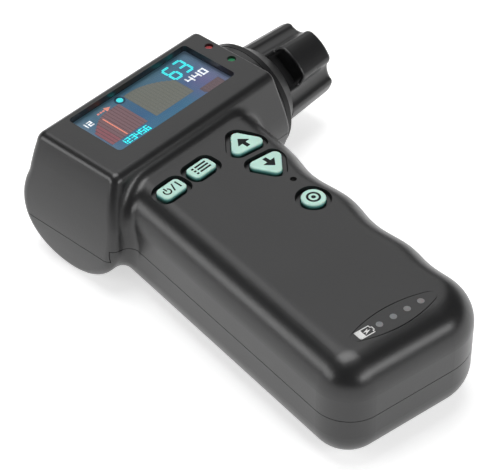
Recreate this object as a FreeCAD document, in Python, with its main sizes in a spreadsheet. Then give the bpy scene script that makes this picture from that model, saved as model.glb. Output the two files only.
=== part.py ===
import FreeCAD
import Part
import Sketcher
import math
import os

from FreeCAD import Placement, Rotation, Vector

# A hand-held motor-driven string tuner. The drive axis is level and runs along +X to the
# peg socket; the grip leaves the head towards -Y, turned a few degrees; the keys and the
# display face +Z. The origin is under the drive axis, on the surface the tuner lies on.

DRIVING_SIZES = [
    # barrel, head and display block
    ("axis_height", 18.6),
    ("barrel_radius", 18.9),
    ("display_height", 37.5),
    ("block_near", 14.4),
    ("block_far", 17.6),
    ("block_left", 29.0),
    ("block_right", 34.2),
    ("head_right", 37.0),
    ("head_left", 36.7),
    ("head_left_bottom", 35.4),
    ("left_rim_fillet", 3.0),
    ("right_rim_fillet", 1.2),
    ("block_top_fillet", 3.4),
    ("notch_fillet", 1.6),
    ("wall", 2.0),
    # grip
    ("grip_yaw", 9.73),
    ("grip_height", 33.7),
    ("grip_left", 26.5),
    ("grip_right", 26.15),
    ("grip_length", 115.9),
    ("grip_start", 3.0),
    ("grip_corner", 11.0),
    ("grip_corner_right", 15.0),
    ("grip_top_fillet", 10.0),
    ("grip_bottom_fillet", 10.4),
    ("finger_depth", 1.9),
    ("finger_pitch", 28.0),
    ("neck_fillet", 3.6),
    # parting line between the two shells
    ("seam_height", 16.6),
    ("seam_low", 12.5),
    ("seam_step", 16.9),
    ("seam_gap", 0.2),
    # display
    ("window_length", 47.6),
    ("window_width", 20.6),
    ("window_centre_x", 3.1),
    ("window_centre_y", 3.7),
    ("window_corner", 1.3),
    ("lens_overlap", 0.8),
    ("lens_thickness", 1.0),
    ("panel_thickness", 1.4),
    ("backlight_thickness", 1.2),
    ("display_board_thickness", 0.8),
    ("display_board_left", 24.0),
    ("display_board_right", 32.0),
    ("display_board_near", 8.0),
    ("display_board_far", 14.6),
    ("status_hole_radius", 1.3),
    ("status_x", 31.3),
    ("status_first_y", 8.2),
    ("status_pitch", 9.0),
    ("status_led_radius", 1.2),
    ("status_recess", 0.9),
    ("port_place", 17.0),
    ("port_length", 8.9),
    ("port_height", 3.2),
    ("port_depth", 7.2),
    ("pickup_radius", 5.0),
    ("pickup_thickness", 0.4),
    ("pickup_x", -6.0),
    ("pickup_edge", 0.4),
    # keys
    ("key_clearance", 0.25),
    ("key_proud", 0.35),
    ("key_travel", 0.6),
    ("key_margin", 1.65),
    ("key_margin_low", 1.3),
    ("key_dish", 1.4),
    ("key_lip", 0.8),
    ("key_edge", 0.45),
    ("small_key_length", 8.4),
    ("small_key_width", 5.1),
    ("small_key_corner", 1.5),
    ("round_key_radius", 3.5),
    ("arrow_key_base", 10.2),
    ("arrow_key_depth", 8.2),
    ("arrow_key_corner", 1.8),
    ("pin_hole_radius", 0.95),
    # main board and switches
    ("board_thickness", 1.6),
    ("board_top", 25.7),
    ("board_half_width", 18.6),
    ("board_tail_half_width", 13.6),
    ("board_near", 20.0),
    ("board_step", 60.0),
    ("board_end", 108.0),
    ("board_screw_radius", 1.0),
    ("board_screw_length", 6.4),
    ("switch_side", 6.0),
    ("switch_height", 3.4),
    ("plunger_radius", 1.7),
    ("plunger_clearance", 0.12),
    ("pin_switch_side", 4.0),
    # charge indicator
    ("charge_lens_length", 33.4),
    ("charge_lens_width", 7.4),
    ("charge_lens_depth", 0.9),
    ("charge_lens_gap", 0.25),
    ("charge_lens_tip", 1.6),
    ("charge_lens_v", 103.9),
    ("charge_dot_radius", 1.1),
    ("charge_dot_pitch", 4.72),
    ("charge_dot_first", -5.0),
    # battery
    ("battery_radius", 9.2),
    ("battery_length", 65.0),
    ("battery_clearance", 0.2),
    ("battery_near", 39.0),
    ("foam_width", 12.0),
    ("foam_near", 62.0),
    ("foam_far", 84.0),
    # motor and gearbox
    ("motor_radius", 10.2),
    ("motor_length", 24.6),
    ("motor_can_wall", 0.8),
    ("motor_cap_length", 4.0),
    ("motor_boss_radius", 3.4),
    ("motor_shaft_radius", 1.0),
    ("motor_shaft_reach", 6.0),
    ("magnet_thickness", 1.7),
    ("armature_radius", 6.9),
    ("armature_length", 15.0),
    ("motor_front", 2.6),
    ("gearbox_radius", 11.0),
    ("gearbox_length", 17.0),
    ("gear_module", 0.4),
    ("gear_backlash", 0.1),
    ("gear_addendum", 0.34),
    ("gear_dedendum", 0.5),
    ("gear_offset", 6.0),
    ("planet_pin_radius", 0.8),
    ("running_clearance", 0.04),
    ("output_shaft_radius", 3.0),
    ("cover_thickness", 2.0),
    ("bracket_thickness", 2.0),
    ("bracket_clearance", 0.25),
    ("bracket_half_height", 9.6),
    ("motor_screw_circle", 8.6),
    ("saddle_clearance", 0.1),
    # nose and peg socket
    ("nose_front", 44.5),
    ("nose_front_radius", 13.2),
    ("nose_back_radius", 17.7),
    ("nose_spigot_radius", 13.6),
    ("nose_lip_radius", 15.0),
    ("nose_lip_thickness", 1.5),
    ("nose_wall", 2.0),
    ("nose_band", 1.8),
    ("nose_step", 0.6),
    ("nose_rim", 0.5),
    ("bush_radius", 5.0),
    ("bush_length", 5.0),
    ("nose_hub_radius", 7.4),
    ("nose_web", 2.2),
    ("socket_base", 45.2),
    ("socket_length", 19.8),
    ("socket_base_radius", 13.2),
    ("socket_end_radius", 12.2),
    ("socket_groove_radius", 5.2),
    ("socket_groove_depth", 2.1),
    ("socket_shoulder", 2.2),
    ("socket_edge", 1.6),
    ("socket_floor", 4.4),
    ("socket_skin", 1.4),
    ("peg_slot_length", 21.0),
    ("peg_slot_width", 9.4),
    ("peg_pad_thickness", 1.0),
    ("notch_length", 6.3),
    ("notch_width", 11.5),
    ("notch_floor_radius", 7.0),
    ("notch_edge", 0.6),
    # screws
    ("screw_radius", 1.25),
    ("screw_head_radius", 2.4),
    ("screw_head_height", 1.6),
    ("screw_length", 16.0),
    ("screw_seat", 8.0),
    ("screw_bite", 0.02),
    ("boss_radius", 3.0),
]

SUN_TEETH = 12
PLANET_TEETH = 18
RING_TEETH = 48
PLANETS = 3

FINGER_PEAKS = (30.0, 58.0, 83.5)      # distances along the grip
CASE_SCREWS_HEAD = ((-30.2, 7.5), (28.6, 9.5))      # in the head, x and y
CASE_SCREWS_GRIP = ((-18.5, -66.5), (18.2, -66.5), (-17.4, -102.0), (17.0, -102.0))
BOARD_SCREWS = ((-15.0, -41.0), (3.0, -49.0), (0.0, -95.0))
SMALL_KEYS = {"power": (-19.7, -25.3), "mode": (-7.75, -25.2)}      # in the head's axes
ARROW_KEYS = {"up": ((12.8, -27.9), 1), "down": ((12.85, -32.6), -1)}      # base line, pointing
ROUND_KEY = (13.2, -55.0)
RESET_HOLE = (13.9, -45.4)

doc = FreeCAD.newDocument("string_tuner")
sheet = doc.addObject("Spreadsheet::Sheet", "sizes")
for row, (alias, value) in enumerate(DRIVING_SIZES, start=1):
    sheet.set(f"A{row}", alias)
    sheet.set(f"B{row}", str(value))
    sheet.setAlias(f"B{row}", alias)
doc.recompute()

parts = []


def size(alias):
    """A driving size as a plain number, read from the sheet."""
    return float(getattr(sheet, alias))


def keep(piece, label):
    """Register a finished sub-part under the name of its file."""
    piece.Label = label
    parts.append(piece)
    return piece


def bind(piece, **expressions):
    """Tie properties of a document object to cells of the sheet."""
    for name, expression in expressions.items():
        piece.setExpression(name, expression)


# ---------------------------------------------------------------- places

def grip_point(u, v, z):
    """World position of a point given across (u) and along (v) the turned grip."""
    yaw = math.radians(size("grip_yaw"))
    x = u * math.cos(yaw) + v * math.sin(yaw)
    y = v * math.cos(yaw) - u * math.sin(yaw)
    return Vector(x, y, z)


def grip_place(u=0.0, v=0.0, z=0.0, turn=0.0):
    """Placement of a piece whose own axes follow the turned grip."""
    return Placement(grip_point(u, v, z), Rotation(Vector(0, 0, 1), turn - size("grip_yaw")))


def head_place(x=0.0, y=0.0, z=0.0):
    """Placement of a piece whose own axes follow the head."""
    return Placement(Vector(x, y, z), Rotation())


ALONG_X = Rotation(Vector(0, 1, 0), 90)


def axis_place(x, turn=0.0):
    """Placement on the drive axis: the piece's own Z points along +X."""
    centre = Vector(x, 0, size("axis_height"))
    return Placement(centre, Rotation(Vector(1, 0, 0), turn).multiply(ALONG_X))


# ---------------------------------------------------------------- plain shapes

def cylinder_x(radius, start, end, y=0.0, z=None):
    """A solid cylinder along X, on the drive axis unless told otherwise."""
    if z is None:
        z = size("axis_height")
    return Part.makeCylinder(radius, end - start, Vector(start, y, z), Vector(1, 0, 0))


def cone_x(start_radius, end_radius, start, end):
    centre = Vector(start, 0, size("axis_height"))
    return Part.makeCone(start_radius, end_radius, end - start, centre, Vector(1, 0, 0))


def box_between(low, high):
    return Part.makeBox(high[0] - low[0], high[1] - low[1], high[2] - low[2], Vector(*low))


def prism(points, bottom, top):
    """A straight prism over a closed outline of (x, y) points."""
    wire = Part.makePolygon([Vector(x, y, bottom) for x, y in points + points[:1]])
    return Part.Face(wire).extrude(Vector(0, 0, top - bottom))


def upright_edges(shape):
    """The straight edges of a shape that run along Z."""
    upright = []
    for edge in shape.Edges:
        first, last = edge.Vertexes[0].Point, edge.Vertexes[-1].Point
        level = math.hypot(first.x - last.x, first.y - last.y)
        if level < 1e-6 and abs(first.z - last.z) > 1e-3:
            upright.append(edge)
    return upright


def rectangle(length, width, centre_x=0.0, centre_y=0.0):
    half_l, half_w = length / 2, width / 2
    corners = ((-half_l, -half_w), (half_l, -half_w), (half_l, half_w), (-half_l, half_w))
    return [(centre_x + x, centre_y + y) for x, y in corners]


def level_edges(shape, height):
    """The edges of a shape that lie flat at one height."""
    flat = []
    for edge in shape.Edges:
        box = edge.BoundBox
        if abs(box.ZMin - height) < 1e-4 and abs(box.ZMax - height) < 1e-4:
            flat.append(edge)
    return flat


# ---------------------------------------------------------------- outer form

def finger_side(inset):
    """The scalloped side of the grip, from the head to the far corner, as one curve."""
    peak = size("grip_right") - inset
    last_peak = size("grip_length") - size("grip_corner_right")
    peaks = FINGER_PEAKS + (last_peak,)
    points = [Vector(peak, size("grip_start"), 0)]
    for start, end in zip(peaks, peaks[1:]):
        depth = size("finger_depth") * ((end - start) / size("finger_pitch")) ** 2
        for step in range(6):
            share = step / 6
            dip = depth * (1 - math.cos(2 * math.pi * share)) / 2
            points.append(Vector(peak - dip, -(start + share * (end - start)), 0))
    points.append(Vector(peak, -last_peak, 0))
    curve = Part.BSplineCurve()
    straight = Vector(0, -1, 0)
    curve.interpolate(Points=points, InitialTangent=straight, FinalTangent=straight)
    return curve.toShape()


def grip_outline(inset):
    left = -size("grip_left") + inset
    right = size("grip_right") - inset
    end = -size("grip_length") + inset
    start = size("grip_start")
    corner = size("grip_corner") - inset
    corner_right = size("grip_corner_right") - inset
    slant = corner * (1 - math.sqrt(0.5))
    slant_right = corner_right * (1 - math.sqrt(0.5))
    corner_line = end + corner
    edges = [
        Part.LineSegment(Vector(left, start, 0), Vector(left, corner_line, 0)).toShape(),
        Part.Arc(Vector(left, corner_line, 0), Vector(left + slant, end + slant, 0),
                 Vector(left + corner, end, 0)).toShape(),
        Part.LineSegment(Vector(left + corner, end, 0), Vector(right - corner_right, end, 0)).toShape(),
        Part.Arc(Vector(right - corner_right, end, 0), Vector(right - slant_right, end + slant_right, 0),
                 Vector(right, end + corner_right, 0)).toShape(),
        finger_side(inset),
        Part.LineSegment(Vector(right, start, 0), Vector(left, start, 0)).toShape(),
    ]
    return Part.Wire(Part.__sortEdges__(edges))


def rim_edges(shape, height):
    """The level edges at one height, without the one that is hidden inside the head."""
    start = size("grip_start")
    rim = []
    for edge in level_edges(shape, height):
        box = edge.BoundBox
        if not (abs(box.YMin - start) < 1e-3 and abs(box.YMax - start) < 1e-3):
            rim.append(edge)
    return rim


def grip_form(inset):
    """The grip as a solid pillow; an inset gives the form of its hollow."""
    bottom, top = inset, size("grip_height") - inset
    face = Part.Face(grip_outline(inset))
    face.translate(Vector(0, 0, bottom))
    body = face.extrude(Vector(0, 0, top - bottom))
    body = body.makeFillet(size("grip_top_fillet") - inset, rim_edges(body, top))
    body = body.makeFillet(size("grip_bottom_fillet") - inset, rim_edges(body, bottom))
    body.Placement = grip_place()
    return body


def head_section(inset):
    """The head cut across the drive axis: round barrel below, display block above."""
    centre = size("axis_height")
    radius = size("barrel_radius") - inset
    near = -size("block_near") + inset
    far = size("block_far") - inset
    top = size("display_height") - inset
    rise = top - centre
    reach = math.hypot(near, rise)
    tangent = math.atan2(rise, near) + math.acos(radius / reach)
    touch = (radius * math.cos(tangent), centre + radius * math.sin(tangent))
    outline = [touch, (near, top), (far, top), (far, centre), (0.0, centre)]
    wire = Part.makePolygon([Vector(0, y, z) for y, z in outline + outline[:1]])
    block = Part.Face(wire).extrude(Vector(100, 0, 0))
    barrel = Part.makeCylinder(radius, 100, Vector(0, 0, centre), Vector(1, 0, 0))
    return block.fuse(barrel).removeSplitter()


def long_edges(shape, test):
    """Edges along X whose place across, (y, z), passes a test."""
    chosen = []
    for edge in shape.Edges:
        box = edge.BoundBox
        if box.XLength > 1 and box.YLength < 1e-4 and box.ZLength < 1e-4 and test(box.YMin, box.ZMin):
            chosen.append(edge)
    return chosen


def head_profile(inset):
    """The head seen from the side: bulging left end, leaning right end."""
    top = size("display_height") + 1
    left_top = -size("block_left") + inset
    left_middle = -size("head_left") + inset
    left_bottom = -size("head_left_bottom") + inset
    right_top = size("block_right") - inset
    right = size("head_right") - inset
    middle = size("seam_height")
    lean = (right - right_top) / (size("display_height") - size("axis_height"))
    edges = [
        Part.Arc(Vector(left_top, 0, top), Vector(left_middle, 0, middle),
                 Vector(left_bottom, 0, -1)).toShape(),
        Part.LineSegment(Vector(left_bottom, 0, -1), Vector(right, 0, -1)).toShape(),
        Part.LineSegment(Vector(right, 0, -1), Vector(right, 0, size("axis_height"))).toShape(),
        Part.LineSegment(Vector(right, 0, size("axis_height")),
                         Vector(right_top - lean, 0, top)).toShape(),
        Part.LineSegment(Vector(right_top - lean, 0, top), Vector(left_top, 0, top)).toShape(),
    ]
    face = Part.Face(Part.Wire(Part.__sortEdges__(edges)))
    face.translate(Vector(0, -50, 0))
    return face.extrude(Vector(0, 100, 0))


def end_rim(shape, left):
    """The closed edge where an end face of the head meets its sides."""
    rim = []
    for edge in shape.Edges:
        box = edge.BoundBox
        if left and box.XMax < -size("block_left") + 3 and box.XLength < 8:
            rim.append(edge)
        if not left and box.XMin > size("block_right") - 3 and box.XLength < 8:
            rim.append(edge)
    return rim


def head_form(inset):
    section = head_section(inset)
    top = size("display_height") - inset
    centre = size("axis_height")
    upper = long_edges(section, lambda y, z: abs(z - top) < 1e-3)
    section = section.makeFillet(size("block_top_fillet") - inset, upper)
    notch = long_edges(section, lambda y, z: y > 0 and centre + 1 < z < top - 5)
    section = section.makeFillet(size("notch_fillet") + inset, notch)
    section.translate(Vector(-50, 0, 0))
    head = section.common(head_profile(inset))
    if inset == 0:
        head = head.makeFillet(size("left_rim_fillet"), end_rim(head, True))
        head = head.makeFillet(size("right_rim_fillet"), end_rim(head, False))
    return head


def touches(shape, point):
    return shape.distToShape(Part.Vertex(point))[0] < 1e-4


def outer_form():
    """Head and grip in one, with the hollow curve where the grip leaves the head."""
    head = head_form(0)
    grip = grip_form(0)
    whole = head.fuse(grip)
    neck = []
    for edge in whole.Edges:
        middle = edge.valueAt((edge.FirstParameter + edge.LastParameter) / 2)
        if middle.z > 6 and touches(head.Shells[0], middle) and touches(grip.Shells[0], middle):
            neck.append(edge)
    whole = whole.makeFillet(size("neck_fillet"), neck).fuse(nose_root(0))
    resting = box_between((-100, -200, 0), (100, 100, 100))
    return whole.common(resting).removeSplitter()


def nose_root(inset):
    """The short round boss that carries the nose, where the head's end leans back."""
    radius = size("nose_back_radius") - 0.1 - inset
    return cylinder_x(radius, size("block_right") - 12, size("head_right") - inset)


def inner_form():
    wall = size("wall")
    return head_form(wall).fuse([grip_form(wall), nose_root(wall)])


# ---------------------------------------------------------------- outlines of keys and lenses

def rounded_outline(centres, radius, height):
    """A level closed outline: round corners of one radius about centres, joined by tangents.

    The centres run anticlockwise. One centre alone gives a circle.
    """
    if len(centres) == 1:
        centre = Vector(*centres[0], height)
        return Part.Wire(Part.Circle(centre, Vector(0, 0, 1), radius).toShape())
    count = len(centres)
    normals = []
    for index in range(count):
        (x1, y1), (x2, y2) = centres[index], centres[(index + 1) % count]
        length = math.hypot(x2 - x1, y2 - y1)
        normals.append(((y2 - y1) / length, (x1 - x2) / length))
    edges = []
    for index in range(count):
        before, after = normals[index - 1], normals[index]
        x, y = centres[index]
        middle = (before[0] + after[0], before[1] + after[1])
        scale = radius / math.hypot(*middle)
        first = Vector(x + before[0] * radius, y + before[1] * radius, height)
        bulge = Vector(x + middle[0] * scale, y + middle[1] * scale, height)
        last = Vector(x + after[0] * radius, y + after[1] * radius, height)
        edges.append(Part.Arc(first, bulge, last).toShape())
        x, y = centres[(index + 1) % count]
        following = Vector(x + after[0] * radius, y + after[1] * radius, height)
        edges.append(Part.LineSegment(last, following).toShape())
    return Part.Wire(edges)


def straight_between(outline, height):
    """A straight solid over an outline, or under it where the height is negative."""
    return Part.Face(outline).extrude(Vector(0, 0, height))


def flared(centres, low_radius, low, high_radius, high):
    """A solid that widens from one rounded outline to another of the same centres."""
    bottom = rounded_outline(centres, low_radius, low)
    top = rounded_outline(centres, high_radius, high)
    return Part.makeLoft([bottom, top], True, True)


def lens_block(gap, low, high):
    """A straight solid over the lens outline: two arcs that meet in rounded tips."""
    length = size("charge_lens_length") + 2 * gap
    width = size("charge_lens_width") + 2 * gap
    tip, side = length / 2, width / 2
    edges = [
        Part.Arc(Vector(-tip, 0, low), Vector(0, -side, low), Vector(tip, 0, low)).toShape(),
        Part.Arc(Vector(tip, 0, low), Vector(0, side, low), Vector(-tip, 0, low)).toShape(),
    ]
    block = Part.Face(Part.Wire(edges)).extrude(Vector(0, 0, high - low))
    return block.makeFillet(size("charge_lens_tip") + gap, upright_edges(block))


# ---------------------------------------------------------------- keys

def small_key_centres():
    corner = size("small_key_corner")
    return rectangle(size("small_key_length") - 2 * corner, size("small_key_width") - 2 * corner)


def arrow_key_centres(pointing):
    corner = size("arrow_key_corner")
    half = size("arrow_key_base") / 2 - corner
    reach = size("arrow_key_depth") - 2 * corner
    if pointing > 0:
        return [(-half, corner), (half, corner), (0.0, corner + reach)]
    return [(half, -corner), (-half, -corner), (0.0, -corner - reach)]


def key_list():
    """Each key: name, corner centres, corner radius, placement."""
    keys = []
    for name, (x, y) in SMALL_KEYS.items():
        keys.append((name, small_key_centres(), size("small_key_corner"), head_place(x, y)))
    for name, ((u, v), pointing) in ARROW_KEYS.items():
        keys.append((name, arrow_key_centres(pointing), size("arrow_key_corner"), grip_place(u, v)))
    keys.append(("set", [(0.0, 0.0)], size("round_key_radius"), grip_place(*ROUND_KEY)))
    return keys


def key_centre(centres, placement):
    """World position, at height zero, of the middle of a key."""
    low_x, high_x = min(x for x, y in centres), max(x for x, y in centres)
    low_y, high_y = min(y for x, y in centres), max(y for x, y in centres)
    return placement.multVec(Vector((low_x + high_x) / 2, (low_y + high_y) / 2, 0))


def key_lip_top():
    return size("grip_height") - size("wall") - size("key_clearance")


def switch_top():
    return size("board_top") + size("switch_height")


def key_dishes():
    """What the shell loses for its keys: a sloped dish and the hole inside it."""
    cuts = []
    surface = size("grip_height")
    floor = surface - size("key_dish")
    for name, centres, radius, placement in key_list():
        margin = size("key_margin")
        dish = flared(centres, radius + size("key_margin_low"), floor, radius + margin, surface)
        above = straight_between(rounded_outline(centres, radius + margin, surface), 5)
        hole = straight_between(rounded_outline(centres, radius + size("key_clearance"), floor + 0.1), -6)
        lip_radius = radius + size("key_lip") + size("key_clearance")
        lip_floor = key_lip_top() - size("key_lip") - size("key_travel") - 0.3
        lip_room = straight_between(rounded_outline(centres, lip_radius, lip_floor), surface - size("wall") - lip_floor)
        cut = dish.fuse([above, hole, lip_room])
        cut.Placement = placement
        cuts.append(cut)
    return cuts


def make_keys():
    lip_top = key_lip_top()
    lip_bottom = lip_top - size("key_lip")
    top = size("grip_height") + size("key_proud")
    for name, centres, radius, placement in key_list():
        cap = straight_between(rounded_outline(centres, radius, lip_bottom), top - lip_bottom)
        cap = cap.makeFillet(size("key_edge"), level_edges(cap, top))
        lip = straight_between(rounded_outline(centres, radius + size("key_lip"), lip_bottom), size("key_lip"))
        key = doc.addObject("Part::Feature", f"{name}_key")
        key.Shape = cap.fuse(lip).removeSplitter()
        key.Placement = placement
        keep(key, f"{name}_key")


def make_switches():
    """Five push switches on the main board, and the plunger that each key presses."""
    housings = []
    well = size("key_travel") + 0.15
    hole_floor = switch_top() - 1.6
    for name, centres, radius, placement in key_list():
        centre = key_centre(centres, placement)
        side = size("switch_side")
        housing = Part.makeBox(side, side, size("switch_height"), Vector(-side / 2, -side / 2, 0))
        housing.Placement = Placement(centre + Vector(0, 0, size("board_top")), placement.Rotation)
        hole_radius = size("plunger_radius") + size("plunger_clearance")
        hole = Part.makeCylinder(hole_radius, 5, centre + Vector(0, 0, hole_floor))
        housings.append(housing.cut(hole))

        plunger = doc.addObject("Part::Cylinder", f"{name}_plunger")
        bottom = hole_floor + well
        bind(plunger, Radius="sizes.plunger_radius")
        bind(plunger, Height=f"sizes.grip_height - sizes.wall - sizes.key_clearance - sizes.key_lip - {bottom:.3f}")
        plunger.Placement = Placement(centre + Vector(0, 0, bottom), Rotation())
        keep(plunger, f"{name}_plunger")
    switches = doc.addObject("Part::Feature", "key_switches")
    switches.Shape = Part.makeCompound(housings)
    keep(switches, "key_switches")


# ---------------------------------------------------------------- shells

def above_seam(offset):
    """Everything above the stepped parting surface, raised by an offset."""
    main = box_between((-200, -200, size("seam_height") + offset), (200, 200, 200))
    left_end = box_between((-200, -size("seam_step") + offset, size("seam_low") + offset),
                           (-20 - offset, 200, 200))
    return main.fuse(left_end)


def case_screw_points():
    """World positions, at height zero, of the case screws and the height of each seat."""
    points = [Vector(x, y, 0) for x, y in CASE_SCREWS_HEAD]
    points += [grip_point(u, v, 0) for u, v in CASE_SCREWS_GRIP]
    return points


def window_cut():
    centres = rectangle(size("window_length") - 2 * size("window_corner"),
                        size("window_width") - 2 * size("window_corner"),
                        size("window_centre_x"), size("window_centre_y"))
    outline = rounded_outline(centres, size("window_corner"), size("display_height") + 1)
    return straight_between(outline, -size("wall") - 2)


def window_seat():
    """The rebate under the bezel that holds the lens and the panel behind it."""
    overlap = size("lens_overlap") + 0.05
    half_l = size("window_length") / 2 + overlap
    half_w = size("window_width") / 2 + overlap
    x, y, top = size("window_centre_x"), size("window_centre_y"), size("display_height") - size("wall")
    return box_between((x - half_l, y - half_w, board_under_display() - 0.6), (x + half_l, y + half_w, top))


def status_points():
    return [(size("status_x"), size("status_first_y") - index * size("status_pitch")) for index in (0, 1)]


def charge_points():
    return [grip_point(size("charge_dot_first") + index * size("charge_dot_pitch"), -size("charge_lens_v"), 0)
            for index in range(4)]


def board_under_display():
    """Height of the underside of the display board."""
    stack = size("lens_thickness") + size("panel_thickness") + size("backlight_thickness")
    return size("display_height") - size("wall") - stack - size("display_board_thickness")


def motor_rib(start, end, bore):
    """A plate across the head, shaped to its hollow, with a round seat for the motor."""
    slab = box_between((start, -16.5, -5), (end, 30, size("axis_height")))
    return head_form(size("wall")).common(slab).cut(cylinder_x(bore, start - 1, end + 1))


def bracket_back():
    """Where along the drive axis the bracket meets the gearbox cover."""
    return size("motor_front") + size("gearbox_length") + size("cover_thickness")


def bracket_slot(half):
    """Two plates across the head that trap the motor bracket between them."""
    back = bracket_back() - 0.05
    front = bracket_back() + size("bracket_thickness") + 0.05
    ribs = []
    for start, end in ((back - 1.4, back), (front, front + 1.4)):
        low, high = (-5, size("seam_height")) if half == "back" else (size("seam_height"), board_under_display() - 0.6)
        slab = box_between((start, -16.5, low), (end, 30, high))
        ribs.append(head_form(size("wall")).common(slab).cut(cylinder_x(13.2, start - 1, end + 1)))
    return ribs


def make_front_shell(outer, inner):
    shell = outer.cut(inner).common(above_seam(size("seam_gap") / 2))
    solids = []
    hollow_top = size("display_height")
    bottom = size("seam_height") + size("seam_gap") / 2
    for index, point in enumerate(case_screw_points()):
        low = bottom
        if point.x < -20 and point.y > 0:
            low = size("seam_low") + size("seam_gap") / 2
        high = board_under_display() - 0.6 if index < len(CASE_SCREWS_HEAD) else hollow_top
        boss = Part.makeCylinder(size("boss_radius"), high - low, Vector(point.x, point.y, low))
        solids.append(boss.common(outer))
        if index < len(CASE_SCREWS_HEAD):
            web = box_between((point.x - 1, point.y, low), (point.x + 1, point.y + 15, high))
            solids.append(web.common(outer))
    for u, v in BOARD_SCREWS:
        base = grip_point(u, v, size("board_top"))
        boss = Part.makeCylinder(2.2, size("grip_height") - size("board_top") - 0.5, base)
        solids.append(boss.common(outer))
    solids += bracket_slot("front")
    shell = shell.fuse(solids)

    cuts = [window_cut()] + key_dishes()
    for x, y in status_points():
        cuts.append(Part.makeCylinder(size("status_hole_radius"), 8, Vector(x, y, size("display_height") - 5)))
    reset = grip_point(*RESET_HOLE, size("grip_height") - 4)
    cuts.append(Part.makeCylinder(size("pin_hole_radius"), 8, reset))
    lens = lens_block(size("charge_lens_gap"), size("grip_height") - size("charge_lens_depth"),
                      size("grip_height") + 2)
    lens.Placement = grip_place(0, -size("charge_lens_v"))
    cuts.append(lens)
    for point in charge_points():
        cuts.append(Part.makeCylinder(size("charge_dot_radius") + 0.05, 10, point + Vector(0, 0, 27)))
    middle, half = -size("port_place"), size("port_length") / 2 + 0.1
    port_low = board_under_display() - size("port_height") - 0.1
    cuts.append(box_between((middle - half, 12, port_low), (middle + half, 30, board_under_display() + 0.05)))
    cuts.append(window_seat())
    cuts.append(cylinder_x(size("nose_spigot_radius") + 0.15, size("head_right") - 4, size("head_right") + 5))
    for point in case_screw_points():
        pilot = size("screw_radius") + size("screw_bite")
        cuts.append(Part.makeCylinder(pilot, size("screw_seat") + size("screw_length") + 0.5, point))
    for u, v in BOARD_SCREWS:
        cuts.append(Part.makeCylinder(size("board_screw_radius") + size("screw_bite"), size("board_screw_length"),
                                      grip_point(u, v, size("board_top") - 1)))
    feature = doc.addObject("Part::Feature", "front_shell")
    feature.Shape = shell.cut(cuts)
    keep(feature, "front_shell")


def make_back_shell(outer, inner):
    shell = outer.cut(inner).cut(above_seam(-size("seam_gap") / 2))
    solids = []
    for point in case_screw_points():
        top = size("seam_height") - size("seam_gap") / 2
        if point.x < -20 and point.y > 0:
            top = size("seam_low") - size("seam_gap") / 2
        boss = Part.makeCylinder(size("boss_radius") + 0.4, top, point)
        solids.append(boss.common(outer))
    saddle = size("motor_radius") + size("saddle_clearance")
    solids += [motor_rib(-19.0, -17.4, saddle), motor_rib(-4.0, -2.4, saddle)]
    solids.append(motor_rib(9.0, 10.6, size("gearbox_radius") + size("saddle_clearance")))
    solids += bracket_slot("back")
    centre = battery_height()
    for v in (-56.0, -98.0):
        slab = box_between((-30, v - 1, -1), (30, v + 1, centre))
        slab.Placement = grip_place()
        seat = Part.makeCylinder(size("battery_radius") + size("battery_clearance"), 140,
                                 Vector(0, -130, centre), Vector(0, 1, 0))
        seat.Placement = grip_place()
        solids.append(inner.common(slab).cut(seat))
    shell = shell.fuse(solids).cut(above_seam(-size("seam_gap") / 2))
    cuts = [cylinder_x(size("nose_spigot_radius") + 0.15, size("head_right") - 4, size("head_right") + 5)]
    for point in case_screw_points():
        cuts.append(Part.makeCylinder(size("screw_radius") + 0.15, 40, point))
        cuts.append(Part.makeCylinder(size("screw_head_radius") + 0.2, size("screw_seat"), point))
    feature = doc.addObject("Part::Feature", "back_shell")
    feature.Shape = shell.cut(cuts)
    keep(feature, "back_shell")


# ---------------------------------------------------------------- sketched bodies

def origin_plane(body, role):
    return next(feature for feature in body.Origin.OriginFeatures if feature.Role == role)


def new_sketch(body, role, name):
    sketch = body.newObject("Sketcher::SketchObject", name)
    sketch.AttachmentSupport = (origin_plane(body, role), [""])
    sketch.MapMode = "FlatFace"
    return sketch


def pin_point(sketch, line, end, x, y):
    """Hold an end of a sketch line at a place given by two expressions."""
    for kind, axis, expression in (("DistanceX", -2, x), ("DistanceY", -1, y)):
        if expression == "0":
            sketch.addConstraint(Sketcher.Constraint("PointOnObject", line, end, axis))
        else:
            index = sketch.addConstraint(Sketcher.Constraint(kind, -1, 1, line, end, 1.0))
            sketch.setExpression(f"Constraints[{index}]", expression)


def sketch_loop(sketch, points):
    """A closed loop of lines through points given as pairs of expressions."""
    values = [(worth(x), worth(y)) for x, y in points]
    count = len(points)
    for index in range(count):
        first, last = values[index], values[(index + 1) % count]
        sketch.addGeometry(Part.LineSegment(Vector(*first, 0), Vector(*last, 0)), False)
    for index in range(count):
        sketch.addConstraint(Sketcher.Constraint("Coincident", index, 2, (index + 1) % count, 1))
    for index, (x, y) in enumerate(points):
        pin_point(sketch, index, 1, x, y)


def worth(expression):
    """The present value of an expression over the sheet."""
    values = {alias: size(alias) for alias, _ in DRIVING_SIZES}
    plain = expression.replace("sizes.", "")
    total, sign = 0.0, 1
    for word in plain.replace("+", " + ").replace("-", " - ").split():
        if word == "+":
            sign = 1
        elif word == "-":
            sign = -1
        else:
            product = 1.0
            for factor in word.split("*"):
                product *= values[factor] if factor in values else float(factor)
            total += sign * product
    return total


def turned(label, profile, placement):
    """A body of revolution: its half profile is a loop of (radius, along) expressions."""
    body = doc.addObject("PartDesign::Body", label)
    sketch = new_sketch(body, "XZ_Plane", f"{label}_profile")
    sketch_loop(sketch, profile)
    revolution = body.newObject("PartDesign::Revolution", f"{label}_turning")
    revolution.Profile = sketch
    revolution.ReferenceAxis = (sketch, ["V_Axis"])
    revolution.Angle = 360
    body.Placement = placement
    return keep(body, label)


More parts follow.
